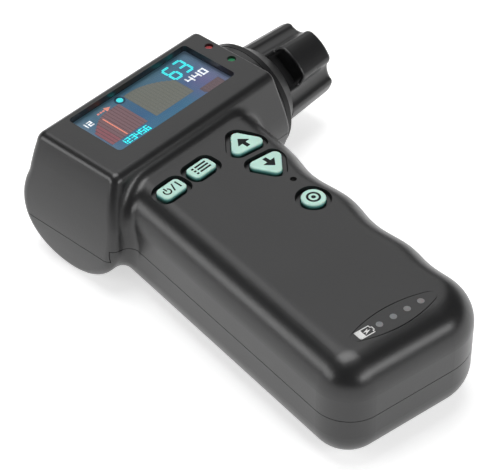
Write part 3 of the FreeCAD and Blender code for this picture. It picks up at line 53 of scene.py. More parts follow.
class Finish:
    """One material, with short names for the nodes that a finish is built from."""

    def __init__(self, name):
        self.mat = bpy.data.materials.new(name)
        self.mat.use_nodes = True
        self.tree = self.mat.node_tree
        self.tree.nodes.clear()
        self.out = self.node("ShaderNodeOutputMaterial")
        self.shader = self.node("ShaderNodeBsdfPrincipled")
        self.link(self.shader.outputs[0], self.out.inputs["Surface"])
        self.place = self.node("ShaderNodeTexCoord").outputs["Object"]

    def node(self, kind, **settings):
        made = self.tree.nodes.new(kind)
        for key, value in settings.items():
            setattr(made, key, value)
        return made

    def link(self, source, target):
        self.tree.links.new(source, target)

    def put(self, socket, value):
        """Links a node's output to a socket, or sets a plain value on it."""
        if hasattr(value, "is_output"):
            self.link(value, socket)
        else:
            socket.default_value = value

    def set(self, **values):
        """Fills the shader's own sockets; their names are written with _ for a space."""
        for key, value in values.items():
            self.put(self.shader.inputs[key.replace("_", " ")], value)

    def maths(self, operation, first, second):
        made = self.node("ShaderNodeMath", operation=operation)
        self.put(made.inputs[0], first)
        self.put(made.inputs[1], second)
        return made.outputs[0]

    def axes(self):
        """The X, Y and Z of a place on the piece, in metres."""
        made = self.node("ShaderNodeSeparateXYZ")
        self.link(self.place, made.inputs[0])
        return made.outputs

    def stretched(self, scale, turn=0.0):
        """The piece's own coordinates, scaled along each axis and turned about Z."""
        made = self.node("ShaderNodeMapping")
        self.link(self.place, made.inputs["Vector"])
        made.inputs["Scale"].default_value = scale
        made.inputs["Rotation"].default_value = (0, 0, turn)
        return made.outputs[0]

    def noise(self, scale, detail=3.0, rough=0.5, coords=None):
        made = self.node("ShaderNodeTexNoise")
        self.link(coords or self.place, made.inputs["Vector"])
        made.inputs["Scale"].default_value = scale
        made.inputs["Detail"].default_value = detail
        made.inputs["Roughness"].default_value = rough
        return made.outputs[0]

    def cells(self, scale):
        made = self.node("ShaderNodeTexVoronoi")
        self.link(self.place, made.inputs["Vector"])
        made.inputs["Scale"].default_value = scale
        return made.outputs["Distance"]

    def waves(self, scale, axis="X", distortion=0.0):
        made = self.node("ShaderNodeTexWave", bands_direction=axis)
        self.link(self.place, made.inputs["Vector"])
        made.inputs["Scale"].default_value = scale
        made.inputs["Distortion"].default_value = distortion
        return made.outputs["Fac"]

    def ramp(self, source, *stops):
        made = self.node("ShaderNodeValToRGB")
        self.link(source, made.inputs[0])
        stripe = made.color_ramp.elements
        while len(stripe) < len(stops):
            stripe.new(0.5)
        for element, (position, colour) in zip(stripe, stops):
            element.position = position
            element.color = (*colour, 1.0)
        return made.outputs[0]

    def spread(self, source, low, high, to_low, to_high):
        """Maps the values from low to high onto those from to_low to to_high."""
        made = self.node("ShaderNodeMapRange")
        self.link(source, made.inputs["Value"])
        keys = ("From Min", "From Max", "To Min", "To Max")
        for key, value in zip(keys, (low, high, to_low, to_high)):
            made.inputs[key].default_value = value
        return made.outputs[0]

    def mottled(self, source, colour, share, span=NOISE_SPAN):
        """A colour that turns a share darker and lighter with a pattern."""
        dark = tuple(channel * (1 - share) for channel in colour)
        light = tuple(min(1.0, channel * (1 + share)) for channel in colour)
        return self.ramp(source, (span[0], dark), (span[1], light))

    def drift(self, source, low, high, span=NOISE_SPAN):
        """A number that wanders from low to high with a noise."""
        return self.spread(source, *span, low, high)

    def blend(self, share, first, second, kind="MIX"):
        made = self.node("ShaderNodeMix", data_type="RGBA", blend_type=kind)
        self.put(made.inputs["Factor"], share)
        for socket, value in ((made.inputs["A"], first), (made.inputs["B"], second)):
            self.put(socket, value if hasattr(value, "is_output") else (*value, 1.0))
        return made.outputs["Result"]

    def bumps(self, *layers):
        """Layers of (height, depth in metres, strength), the coarsest first."""
        normal = None
        for height, depth, strength in layers:
            made = self.node("ShaderNodeBump")
            made.inputs["Distance"].default_value = depth
            made.inputs["Strength"].default_value = strength
            self.link(height, made.inputs["Height"])
            if normal is not None:
                self.link(normal, made.inputs["Normal"])
            normal = made.outputs[0]
        self.link(normal, self.shader.inputs["Normal"])


# ---------------------------------------------------------------- finishes

def moulded(name, colour, rough, grain=1800, depth=20 * MICRON, variety=0.10, gloss=0.5):
    """Injection-moulded plastic: spark-eroded grain, faint flow tone and rubbed patches."""
    look = Finish(name)
    flow = look.noise(70, 4.0, 0.55)
    speckle = look.noise(grain, 1.0)
    rubbed = look.noise(160, 2.0)
    tone = look.mottled(flow, colour, variety, (0.32, 0.68))
    pale = tuple(min(1.0, channel * 1.35 + 0.004) for channel in colour)
    fine = look.spread(speckle, 0.58, 0.78, 0.0, 0.35)
    look.set(Base_Color=look.blend(fine, tone, pale), Specular_IOR_Level=gloss,
             Roughness=look.drift(rubbed, rough - 0.006, rough + 0.034, (0.2, 0.8)))
    look.bumps((rubbed, 20 * MICRON, 0.1), (speckle, depth, 0.5))
    return look.mat


def plated(name, colour, rough, scale=(60, 1600, 1600), depth=12 * MICRON):
    """Bright plating over drawn or turned metal, with the drawing lines along one axis."""
    look = Finish(name)
    lines = look.noise(1.0, 4.0, 0.6, look.stretched(scale))
    cloud = look.noise(220, 4.0)
    look.set(Base_Color=look.mottled(lines, colour, 0.10), Metallic=1.0,
             Roughness=look.drift(cloud, rough - 0.06, rough + 0.10))
    look.bumps((lines, depth, 0.35))
    return look.mat


def turned_brass(name, colour, rough):
    """Turned brass with fine tool marks and a slight brown bloom."""
    look = Finish(name)
    marks = look.waves(900, distortion=0.6)
    bloom = look.noise(300, 4.0, 0.55)
    brown = tinted(colour, (0.72, 0.66, 0.6))
    look.set(Base_Color=look.ramp(bloom, (0.38, brown), (0.62, colour)), Metallic=1.0,
             Roughness=look.drift(bloom, rough, rough + 0.12))
    look.bumps((marks, 10 * MICRON, 0.4))
    return look.mat


def solder_mask(name):
    """Green lacquer over copper tracks, with bare pads and the glass weave below."""
    look = Finish(name)
    tracks = look.node("ShaderNodeTexBrick")
    look.link(look.place, tracks.inputs["Vector"])
    for key, value in (("Scale", 180), ("Mortar Size", 0.035), ("Mortar Smooth", 0.15),
                       ("Brick Width", 1.1), ("Row Height", 0.22)):
        tracks.inputs[key].default_value = value
    track = tracks.outputs["Fac"]
    weave = look.waves(700)
    lacquer = look.ramp(look.noise(90), (0.3, (0.008, 0.075, 0.03)), (0.7, (0.014, 0.11, 0.045)))
    pads = look.spread(look.cells(420), 0.10, 0.16, 1.0, 0.0)
    tone = look.blend(track, lacquer, (0.03, 0.19, 0.08))
    look.set(Base_Color=look.blend(pads, tone, (0.55, 0.52, 0.42)),
             Coat_Weight=0.4, Coat_Roughness=0.18,
             Roughness=look.spread(weave, 0.0, 1.0, 0.26, 0.36))
    look.bumps((weave, 10 * MICRON, 0.2), (track, 30 * MICRON, 0.6))
    return look.mat


def soft_rubber(name, colour):
    """Dull rubber with a fine skin and a little dust."""
    look = Finish(name)
    skin = look.noise(1400, 3.0, 0.6)
    dust = look.noise(120, 5.0, 0.6)
    look.set(Base_Color=look.mottled(dust, colour, 0.18, (0.3, 0.75)), Specular_IOR_Level=0.35,
             Roughness=look.drift(dust, 0.66, 0.82))
    look.bumps((skin, 40 * MICRON, 0.4))
    return look.mat


def sponge(name, colour):
    """Closed-cell foam."""
    look = Finish(name)
    cell = look.cells(1500)
    look.set(Base_Color=look.mottled(cell, colour, 0.35, (0.0, 0.6)),
             Roughness=look.spread(cell, 0.0, 1.0, 0.82, 0.95))
    look.bumps((cell, 180 * MICRON, 0.7))
    return look.mat


def shrink_sleeve(name, colour):
    """The cell's heat-shrunk sleeve: glossy, with fine wrinkles round its ends."""
    look = Finish(name)
    wrinkles = look.noise(1.0, 4.0, 0.6, look.stretched((900, 120, 900)))
    cloud = look.noise(80)
    look.set(Base_Color=look.mottled(cloud, colour, 0.14), Coat_Weight=0.5, Coat_Roughness=0.12,
             Roughness=look.drift(wrinkles, 0.24, 0.36))
    look.bumps((wrinkles, 40 * MICRON, 0.45))
    return look.mat


def ferrite(name, colour):
    """Pressed magnet material: gritty, with a faint metal glint."""
    look = Finish(name)
    grit = look.noise(1800, 4.0, 0.7)
    look.set(Base_Color=look.mottled(grit, colour, 0.35, (0.35, 0.65)), Metallic=0.25,
             Roughness=look.drift(grit, 0.5, 0.72))
    look.bumps((grit, 30 * MICRON, 0.5))
    return look.mat


def laminations(name, colour):
    """The stacked plates of the armature, seen as fine rings along the drive axis."""
    look = Finish(name)
    rings = look.waves(640)
    rust = look.spread(look.noise(500, 4.0, 0.6), 0.62, 0.8, 0.0, 0.5)
    plates = look.mottled(rings, colour, 0.25, (0.2, 0.8))
    look.set(Base_Color=look.blend(rust, plates, (0.22, 0.12, 0.07)), Metallic=0.9,
             Roughness=look.spread(rings, 0.0, 1.0, 0.32, 0.5))
    look.bumps((rings, 30 * MICRON, 0.6))
    return look.mat


def cast_nylon(name, colour):
    """Natural gear plastic: a little light enters it, and it has faint mould swirls."""
    look = Finish(name)
    swirl = look.noise(240)
    fine = look.noise(2600, 2.0)
    look.set(Base_Color=look.mottled(swirl, colour, 0.06),
             Subsurface_Weight=0.15, Subsurface_Scale=1.0 * MM,
             Roughness=look.drift(swirl, 0.36, 0.46))
    look.bumps((fine, 20 * MICRON, 0.3))
    return look.mat


def epoxy_dome(name, colour):
    """A tinted epoxy lamp: uneven deep colour under a polished skin."""
    look = Finish(name)
    heart = look.noise(900, 2.0)
    look.set(Base_Color=look.mottled(heart, colour, 0.22),
             Subsurface_Weight=0.2, Subsurface_Scale=0.6 * MM,
             Coat_Weight=0.8, Coat_Roughness=0.08, Roughness=look.drift(heart, 0.2, 0.3))
    look.bumps((heart, 30 * MICRON, 0.15))
    return look.mat


def frosted(name, colour):
    """Milky plastic that light passes through softly."""
    look = Finish(name)
    haze = look.noise(1500, 3.0, 0.6)
    look.set(Base_Color=look.mottled(haze, colour, 0.08),
             Subsurface_Weight=0.3, Subsurface_Scale=1.0 * MM,
             Roughness=look.drift(haze, 0.38, 0.5))
    look.bumps((haze, 30 * MICRON, 0.3))
    return look.mat


def clear_pane(name):
    """The display's cover: clear, with a polished face that carries faint wiping marks."""
    look = Finish(name)
    wiping = look.noise(1.0, 3.0, 0.5, look.stretched((900, 120, 400), 0.6))
    look.set(Base_Color=(0.02, 0.022, 0.025, 1.0), Specular_IOR_Level=0.6,
             Roughness=look.drift(wiping, 0.05, 0.09))
    look.bumps((wiping, 4 * MICRON, 0.2))
    through = look.node("ShaderNodeBsdfTransparent")
    facing = look.node("ShaderNodeFresnel")
    facing.inputs["IOR"].default_value = 1.45
    mixed = look.node("ShaderNodeMixShader")
    for socket, source in zip(mixed.inputs, (facing, through, look.shader)):
        look.link(source.outputs[0], socket)
    look.link(mixed.outputs[0], look.out.inputs["Surface"])
    return look.mat


def key_silicone(name, colour, shell_top, crown_top):
    """A key's soft-touch green, with painted shade: darker teal down its flank and a painted
    shadow, near black, at its foot.
    """
    look = Finish(name)
    fine = look.noise(2800, 2.0, 0.6)
    cloud = look.noise(260, 4.0)
    face = look.mottled(cloud, colour, 0.05)
    # painted shade: the flank is the key's green darkened towards teal, as its side gets less light
    flank = tinted(colour, (0.38, 0.80, 0.84))
    # painted shadow: near black at the key's foot, down in its well
    foot = tinted(colour, (0.05, 0.12, 0.12))
    height = look.axes()[2]
    crown = look.spread(height, crown_top - 0.75 * MM, crown_top - 0.12 * MM, 0.0, 1.0)
    # the painted foot shadow fades out over the last 0.9 mm below the shell's top
    depth = look.spread(height, shell_top - 0.9 * MM, shell_top - 0.1 * MM, 0.0, 1.0)
    look.set(Base_Color=look.blend(depth, foot, look.blend(crown, flank, face)),
             Subsurface_Weight=0.12, Subsurface_Scale=1.2 * MM,
             Roughness=look.drift(cloud, 0.42, 0.52))
    look.bumps((fine, 20 * MICRON, 0.35))
    return look.mat


def lit_panel(name, low, high):
    """The lit sheet of the display: a blue ground with soft patches and the fine cell grid."""
    look = Finish(name)
    across, along = look.axes()[:2]
    run = look.spread(across, low.x, high.x, 0.0, 1.0)
    rise = look.spread(along, low.y, high.y, 0.0, 1.0)
    ground = look.ramp(rise, (0.0, (0.075, 0.24, 0.36)), (0.45, (0.075, 0.19, 0.34)),
                       (1.0, (0.115, 0.235, 0.30)))
    haze = look.ramp(look.noise(55, 2.0, 0.4), (0.35, (0.75, 0.85, 1.0)), (0.7, (1.2, 1.1, 1.05)))
    hazy = look.blend(0.8, ground, haze, "MULTIPLY")
    to_right = look.spread(run, 0.66, 0.88, 0.0, 0.8)
    to_near_side = look.spread(rise, 0.72, 0.42, 0.0, 1.0)
    violet_share = look.maths("MULTIPLY", to_right, to_near_side)
    violet = look.blend(violet_share, hazy, (0.22, 0.19, 0.38))
    left_end = look.spread(run, 0.16, 0.02, 0.0, 0.7)
    right_end = look.spread(run, 0.88, 1.0, 0.0, 0.7)
    paler = look.blend(look.maths("MAXIMUM", left_end, right_end), violet, (0.20, 0.28, 0.38))
    wave = look.maths("MULTIPLY", look.waves(420, "X"), look.waves(420, "Y"))
    grid = look.ramp(look.spread(wave, 0.0, 0.5, 0.93, 1.03),
                     (0.9, (0.9, 0.9, 0.9)), (1.0, (1.0, 1.0, 1.0)))
    lit = look.blend(1.0, paler, grid, "MULTIPLY")
    look.set(Base_Color=lit, Emission_Color=lit, Emission_Strength=0.25,
             Roughness=look.drift(look.noise(900), 0.35, 0.45))
    look.bumps((wave, 5 * MICRON, 0.2))
    return look.mat


def printed(name, colour, glow=0.0, rough=0.5, gloss=0.5):
    """Screen-printed or lit marks, with the slight unevenness of ink."""
    look = Finish(name)
    ink = look.noise(2200, 3.0, 0.6)
    look.set(Base_Color=look.mottled(ink, colour, 0.07), Specular_IOR_Level=gloss,
             Roughness=look.drift(ink, rough - 0.05, rough + 0.08))
    if glow:
        look.set(Emission_Color=(*colour, 1.0), Emission_Strength=glow)
    look.bumps((ink, 10 * MICRON, 0.25))
    return look.mat


# ---------------------------------------------------------------- finishes of the CAD pieces

BLACK = (0.0105, 0.0105, 0.011)
KEYS = ("power", "mode", "up", "down", "set")
PLANETS = [f"{stage}_planet_{n}" for stage in ("first", "second") for n in (1, 2, 3)]


def wear(finish, *names):
    """Gives a finish to CAD nodes, on their own material slots."""
    for name in names:
        for slot in nodes[name].material_slots:
            slot.material = finish


wear(moulded("satin_black_shell", BLACK, 0.288, grain=1500, gloss=0.66),
     "front_shell", "back_shell", "charge_lens")
wear(moulded("satin_black_nose", (0.010, 0.010, 0.0105), 0.37, depth=10 * MICRON, gloss=0.28),
     "nose_collar")
wear(moulded("satin_black_socket", BLACK, 0.31, gloss=0.6), "peg_socket")
wear(moulded("plain_black_moulding", (0.045, 0.045, 0.045), 0.5, grain=2200),
     "motor_end_cap", "key_switches", "reset_switch")
wear(moulded("white_plunger", (0.70, 0.70, 0.68), 0.45, variety=0.04),
     "reset_plunger", *[f"{key}_plunger" for key in KEYS])
wear(plated("nickel_plate", (0.60, 0.60, 0.61), 0.26),
     "usb_socket", "motor_can", "motor_shaft", "output_shaft", "gearbox_bracket")
wear(plated("zinc_plate", (0.55, 0.56, 0.58), 0.32, scale=(1200, 1200, 60)),
     "case_screws", "board_screws", "motor_screws", "socket_screw")
wear(plated("sintered_steel", (0.46, 0.46, 0.47), 0.4, scale=(900, 900, 900), depth=30 * MICRON),
     "output_carrier")
wear(turned_brass("turned_brass", (0.72, 0.53, 0.24), 0.26),
     "pickup_disc", "nose_bush", "motor_pinion")
wear(cast_nylon("white_acetal", (0.78, 0.78, 0.74)), "gearbox_housing", "gearbox_cover")
wear(cast_nylon("natural_nylon", (0.80, 0.78, 0.70)), "first_carrier", *PLANETS)
wear(solder_mask("green_board"), "main_board", "display_board")
wear(laminations("armature_plates", (0.46, 0.44, 0.42)), "motor_armature")
wear(ferrite("ferrite_grey", (0.13, 0.13, 0.135)), "motor_magnets")
wear(shrink_sleeve("blue_sleeve", (0.03, 0.12, 0.40)), "battery_cell")
wear(sponge("black_foam", (0.05, 0.05, 0.05)), "battery_foam")
wear(soft_rubber("black_rubber", (0.035, 0.035, 0.035)), "peg_pads")
wear(epoxy_dome("red_epoxy", (0.62, 0.10, 0.11)), "red_status_led")
wear(epoxy_dome("green_epoxy", (0.05, 0.34, 0.15)), "green_status_led")
wear(frosted("frosted_pipe", (0.45, 0.45, 0.45)), "charge_light_pipes", "charge_leds")
wear(frosted("milky_diffuser", (0.80, 0.82, 0.84)), "lcd_backlight")
wear(clear_pane("clear_cover"), "display_window")

panel_low, panel_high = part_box("lcd_panel")
wear(lit_panel("lit_blue_panel", panel_low, panel_high), "lcd_panel")

grip_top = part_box("charge_lens")[1].z
key_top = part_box("set_key")[1].z
for key in KEYS:
    wear(key_silicone(f"green_{key}_key", (0.53, 0.80, 0.70), grip_top, key_top), f"{key}_key")


# ---------------------------------------------------------------- shop tools for new pieces

CORNER_STEPS = 3
DOME_STEPS = 3
DOME_INSET = 0.22           # how far each step of a dome goes in, as a share of its radius
FACES_UP = 0.9              # a face whose normal rises more than this counts as facing up
RING_SIDES = 40


def clear_selection():
    if bpy.context.mode != "OBJECT":
        bpy.ops.object.mode_set(mode="OBJECT")
    bpy.ops.object.select_all(action="DESELECT")


def raise_flat(thickness, corner=0.0):
    """Turns the flat active piece into a plate; its corners are rounded first."""
    bpy.ops.object.mode_set(mode="EDIT")
    bpy.ops.mesh.select_all(action="SELECT")
    if corner:
        bpy.ops.mesh.bevel(offset=corner, segments=CORNER_STEPS, affect="VERTICES")
        bpy.ops.mesh.select_all(action="SELECT")
    bpy.ops.mesh.extrude_region_move(TRANSFORM_OT_translate={"value": (0, 0, thickness)})
    bpy.ops.mesh.select_all(action="SELECT")
    bpy.ops.mesh.normals_make_consistent(inside=False)
    bpy.ops.object.mode_set(mode="OBJECT")
    return bpy.context.object


def bar(x, y, length, width, z, thickness, corner=0.0, turn=0.0):
    """A rectangular plate about (x, y), turned about its middle."""
    clear_selection()
    bpy.ops.mesh.primitive_plane_add(size=1, location=(x, y, z), rotation=(0, 0, turn))
    bpy.context.object.scale = (length, width, 1)
    bpy.ops.object.transform_apply(location=True, rotation=True, scale=True)
    return raise_flat(thickness, corner)


def plate(points, z, thickness, corner=0.0):
    """A plate over any outline: a disc is laid down and its rim points moved to the outline."""
    clear_selection()
    bpy.ops.mesh.primitive_circle_add(vertices=len(points), radius=MM, fill_type="NGON",
                                      location=(0, 0, 0))
    made = bpy.context.object
    for vertex, (x, y) in zip(made.data.vertices, points):
        vertex.co = (x, y, z)
    return raise_flat(thickness, corner)


def round_blank(x, y, radius, z, sides):
    """A flat filled circle, with its place in its mesh."""
    clear_selection()
    bpy.ops.mesh.primitive_circle_add(vertices=sides, radius=radius, fill_type="NGON",
                                      location=(x, y, z))
    bpy.ops.object.transform_apply(location=True, rotation=True, scale=True)
    return bpy.context.object


def disc(x, y, radius, z, thickness, sides=32, dome=0.0):
    """A round plate; its top may rise in steps to a low dome."""
    round_blank(x, y, radius, z, sides)
    made = raise_flat(thickness)
    if not dome:
        return made
    for _ in range(DOME_STEPS):
        bpy.ops.object.mode_set(mode="EDIT")
        bpy.ops.mesh.select_all(action="DESELECT")
        bpy.ops.object.mode_set(mode="OBJECT")
        points = made.data.vertices
        top = max(point.co.z for point in points) - MICRON
        for face in made.data.polygons:
            at_top = all(points[i].co.z > top for i in face.vertices)
            face.select = face.normal.z > FACES_UP and at_top
        bpy.ops.object.mode_set(mode="EDIT")
        bpy.ops.mesh.inset(thickness=radius * DOME_INSET, depth=dome / DOME_STEPS)
    bpy.ops.object.mode_set(mode="OBJECT")
    return made


def ring(x, y, radius, width, z, thickness, gap=0.0):
    """A flat ring, open at its +Y side by the gap's angle."""
    made = round_blank(x, y, radius + width / 2, z, RING_SIDES)
    bpy.ops.object.mode_set(mode="EDIT")
    bpy.ops.mesh.select_all(action="SELECT")
    bpy.ops.mesh.inset(thickness=width)
    bpy.ops.mesh.delete(type="FACE")
    bpy.ops.mesh.select_all(action="DESELECT")
    bpy.ops.object.mode_set(mode="OBJECT")
    if gap:
        for face in made.data.polygons:
            off = math.atan2(face.center.x - x, face.center.y - y)
            face.select = abs(off) < gap / 2
        bpy.ops.object.mode_set(mode="EDIT")
        bpy.ops.mesh.delete(type="FACE")
        bpy.ops.object.mode_set(mode="OBJECT")
    return raise_flat(thickness)


def repeated(piece, offsets):
    """The piece and a copy of it at each offset from it, in metres, each with its own mesh."""
    made = [piece]
    for x, y in offsets:
        clear_selection()
        piece.select_set(True)
        bpy.context.view_layer.objects.active = piece
        bpy.ops.object.duplicate(linked=False)
        bpy.ops.transform.translate(value=(x, y, 0))
        bpy.ops.object.transform_apply(location=True, rotation=False, scale=False)
        made.append(bpy.context.object)
    return made


def joined(name, marks, finish, body):
    """Several marks made one piece, which rides on its body."""
    clear_selection()
    for mark in marks:
        mark.select_set(True)
    bpy.context.view_layer.objects.active = marks[0]
    if len(marks) > 1:
        bpy.ops.object.join()
    piece = bpy.context.object
    piece.name = name
    piece.data.name = name
    piece.data.materials.clear()
    piece.data.materials.append(finish)
    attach(piece, body)


# ---------------------------------------------------------------- the display's picture
# Bars, figures and scales are laid out in millimetres, along the frame's own X and Y.

INK = 0.03 * MM                             # the thickness of one layer of the picture
BAR_DEPTH = 1.2 * INK
FIELD_SINK = 0.4 * INK                      # how far a scale's field lies below its bars
picture_z = panel_high.z - 0.2 * INK
front_z = picture_z + 2 * INK               # figures, pointer and dot lie over the scales

SEGMENTS = {
    "0": "abcdef", "1": "bc", "2": "abged", "3": "abgcd", "4": "fgbc",
    "5": "afgcd", "6": "afgedc",
}
CLOSED = -0.9                               # a digit's gap at which its strokes meet
SCALE_BARS = 12


def on_display(name, marks, finish):
    """Makes one piece of the picture's marks, which stays with the case."""
    joined(name, marks, finish, "case")


def lit_bar(x, y, length, width, corner=0.0, z=picture_z):
    return bar(x * MM, y * MM, length * MM, width * MM, z, BAR_DEPTH, corner * MM)


def digit(figure, left, foot, width, height, stroke, gap=0.5):
    """One seven-bar figure, with a share of the stroke left open at each bar's ends."""
    half = height / 2
    centre, right = left + width / 2, left + width
    low, high = foot + 0.5 * half, foot + 1.5 * half
    level = {"a": foot + height, "g": foot + half, "d": foot}
    upright = {"f": (left, high), "e": (left, low), "b": (right, high), "c": (right, low)}
    flat = [(centre, level[segment]) for segment in SEGMENTS[figure] if segment in level]
    tall = [upright[segment] for segment in SEGMENTS[figure] if segment in upright]
    marks = []
    for spots, length, breadth in ((flat, width - gap * stroke, stroke),
                                   (tall, stroke, half - gap * stroke)):
        if spots:
            x, y = spots[0]
            segment = lit_bar(x, y, length, breadth, 0.25 * stroke, front_z)
            marks += repeated(segment, [((to_x - x) * MM, (to_y - y) * MM)
                                        for to_x, to_y in spots[1:]])
    return marks


def figures(text, left, pitch, *shape):
    """A row of figures, a pitch apart."""
    marks = []
    for step, figure in enumerate(text):
        marks += digit(figure, left + pitch * step, *shape)
    return marks


def scale_ground(name, corners, colour):
    """The dim field behind a scale's bars."""
    outline = [(x * MM, y * MM) for x, y in corners]
    field = plate(outline, picture_z - FIELD_SINK, INK)
    on_display(name, [field], printed(f"{name}_ink", colour))


def under_curve(curve, start, pitch, foot):
    """The outline of a scale's field, from its straight foot up to its curved top."""
    run = [start + pitch * step for step in range(SCALE_BARS + 1)]
    return [(run[0], foot), (run[-1], foot)] + [(x, curve(x)) for x in reversed(run)]


def rise_top(x):
    """The top of the rising scale on the left."""
    return 6.4 + 4.9 * math.sin(min(1.0, (x + 17.6) / 9.5) * math.pi / 2)


def fall_top(x):
    """The top of the falling scale in the middle."""
    return 6.8 + 6.0 * math.cos(min(1.0, max(0.0, (x - 2.5) / 13.0)) * math.pi / 2) ** 0.8


def scale_bars(curve, start, pitch, width, foot, short=0.0):
    """A scale's bars, from its foot up to its curve or a little short of it."""
    bars = []
    for step in range(SCALE_BARS):
        x = start + pitch * step
        top = curve(x) - short
        bars.append(lit_bar(x, (top + foot) / 2, width, top - foot, 0.08))
    return bars


rise_bars = scale_bars(rise_top, -17.0, 1.2, 0.92, -0.5)
on_display("display_scale_low", rise_bars[3:], printed("dim_brown", (0.39, 0.235, 0.26)))
on_display("display_scale_red", rise_bars[:3], printed("dim_red", (0.52, 0.20, 0.235)))
scale_ground("display_field_low", under_curve(rise_top, -17.6, 1.15, -0.5), (0.25, 0.15, 0.17))

fall_bars = scale_bars(fall_top, 0.7, 1.27, 1.05, -0.6, short=0.1)
on_display("display_scale_high", fall_bars, printed("dim_olive", (0.305, 0.315, 0.275)))
scale_ground("display_field_high", under_curve(fall_top, 0.0, 1.3, -0.6), (0.27, 0.29, 0.26))

end_bars = repeated(lit_bar(18.7, -2.6, 0.96, 3.0, 0.1),
                    [(1.12 * MM * step, 0) for step in range(1, 6)])
on_display("display_scale_end", end_bars, printed("dim_rust", (0.28, 0.20, 0.22)))
scale_ground("display_field_end",
             [(17.3, -3.1), (18.2, -4.2), (25.2, -4.2), (25.2, -1.0), (17.3, -1.0)],
             (0.23, 0.17, 0.195))

ARROW_Y, ARROW_HALF = 12.1, 1.0
ARROW_FOOT, ARROW_TIP = -7.9, -5.9
arrow_head = [(ARROW_FOOT * MM, (ARROW_Y - ARROW_HALF) * MM), (ARROW_TIP * MM, ARROW_Y * MM),
              (ARROW_FOOT * MM, (ARROW_Y + ARROW_HALF) * MM)]
amber_marks = [lit_bar(-11.36, 4.7, 0.42, 9.9, 0.15, front_z),
               plate(arrow_head, front_z, INK, 0.12 * MM)]
amber_marks += repeated(lit_bar(-8.6, ARROW_Y, 0.72, 0.62, 0.1, front_z),
                        [(-1.05 * MM, 0), (-2.1 * MM, 0)])
on_display("display_needle", amber_marks, printed("lit_amber", (0.97, 0.34, 0.25), glow=0.4))

DOT_X, DOT_Y = -1.93 * MM, 12.2 * MM
cyan_marks = [disc(DOT_X, DOT_Y, 1.0 * MM, front_z, INK)]
cyan_marks += figures("123456", -15.5, 1.85, -3.35, 1.15, 1.95, 0.34, CLOSED)
cyan_marks += figures("63", 15.8, 4.5, 6.95, 2.9, 5.7, 0.78)
on_display("display_figures", cyan_marks, printed("lit_cyan", (0.07, 0.93, 0.97), glow=0.5))

white_marks = figures("440", 17.7, 2.75, 2.75, 1.65, 2.2, 0.56, CLOSED)
white_marks += figures("12", -18.0, 2.2, 9.95, 1.2, 1.7, 0.45, CLOSED)
on_display("display_signs", white_marks, printed("lit_white", (0.87, 0.89, 0.92), glow=0.4))

dot_ring = ring(DOT_X, DOT_Y, 1.45 * MM, 0.5 * MM, picture_z + INK, INK)
on_display("display_dot_ring", [dot_ring], printed("dim_blue", (0.03, 0.09, 0.16)))


# ---------------------------------------------------------------- marks on the keys

PRINT_DEPTH = 0.04 * MM
PRINT_SINK = 0.01 * MM                      # how far a print reaches into its piece
key_print_z = key_top - PRINT_SINK
legend_ink = printed("dark_legend", (0.008, 0.011, 0.011), rough=0.62, gloss=0.2)


def on_key(key, marks):
    """Makes one piece of a key's marks, which rides with the key."""
    joined(f"{key}_mark", marks, legend_ink, f"{key}_button")


def key_spot(key, x=0.0, y=0.0):
    """A place on a key, in metres, from millimetres off its middle."""
    low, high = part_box(f"{key}_key")
    return (low.x + high.x) / 2 + x * MM, (low.y + high.y) / 2 + y * MM


def key_bar(spot, length, width, turn=0.0):
    return bar(*spot, length * MM, width * MM, key_print_z, PRINT_DEPTH, 0.12 * MM, turn)


def key_ring(spot, radius, width, gap=0.0):
    return ring(*spot, radius * MM, width * MM, key_print_z, PRINT_DEPTH, gap)


def arrow_mark(key, way):
    """An arrowhead with a short stem, pointing along the grip."""
    shift = -0.9 * way
    head = [key_spot(key, x, shift + y * way) for x, y in ((-2.3, 0.1), (0.0, 2.6), (2.3, 0.1))]
    outline = head if way < 0 else head[::-1]
    on_key(key, [plate(outline, key_print_z, PRINT_DEPTH, 0.15 * MM),
                 key_bar(key_spot(key, 0.0, shift - 0.75 * way), 1.3, 2.0)])


on_key("power", [key_ring(key_spot("power", -1.75, -0.15), 1.1, 0.46, gap=1.3),
                 key_bar(key_spot("power", -1.75, 0.75), 0.46, 1.5),
                 key_bar(key_spot("power", 0.65), 0.46, 3.0, turn=-0.42),
                 key_bar(key_spot("power", 2.55), 0.5, 2.7)])

line_offsets = [(0, -1.15 * MM), (0, 1.15 * MM)]
on_key("mode", repeated(key_bar(key_spot("mode", 0.65), 4.1, 0.6), line_offsets)
       + repeated(key_bar(key_spot("mode", -2.35), 0.8, 0.6), line_offsets))

arrow_mark("up", 1)
arrow_mark("down", -1)

on_key("set", [key_ring(key_spot("set"), 1.75, 0.66),
               disc(*key_spot("set"), 0.66 * MM, key_print_z, PRINT_DEPTH, 20)])


# ---------------------------------------------------------------- charge gauge

PIPE_RADIUS = 1.12 * MM
DOT_COUNT = 4
DOT_RADIUS = 0.98 * MM
DOT_SINK, DOT_DEPTH, DOT_DOME = 0.05 * MM, 0.09 * MM, 0.06 * MM
SIGN_GAP = 5.0 * MM                         # from the first dot to the battery sign's middle
grip_print_z = grip_top - PRINT_SINK

pipes_low, pipes_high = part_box("charge_light_pipes")
first = Vector((pipes_low.x + PIPE_RADIUS, pipes_high.y - PIPE_RADIUS, grip_top))
last = Vector((pipes_high.x - PIPE_RADIUS, pipes_low.y + PIPE_RADIUS, grip_top))
row_turn = math.atan2(last.y - first.y, last.x - first.x)
row = Vector((math.cos(row_turn), math.sin(row_turn), 0))
across = Vector((-row.y, row.x, 0))
pitch = (last - first) / (DOT_COUNT - 1)
first_dot = disc(first.x, first.y, DOT_RADIUS, grip_top - DOT_SINK, DOT_DEPTH, 28, DOT_DOME)
dots = repeated(first_dot, [(pitch.x * step, pitch.y * step) for step in range(1, DOT_COUNT)])
joined("charge_dots", dots, frosted("dull_grey_dot", (0.20, 0.20, 0.205)), "case")


def cell_point(along, up):
    """A place in metres, from millimetres along and across the battery sign."""
    centre = first - row * SIGN_GAP
    place = centre + row * along * MM + across * up * MM
    return place.x, place.y


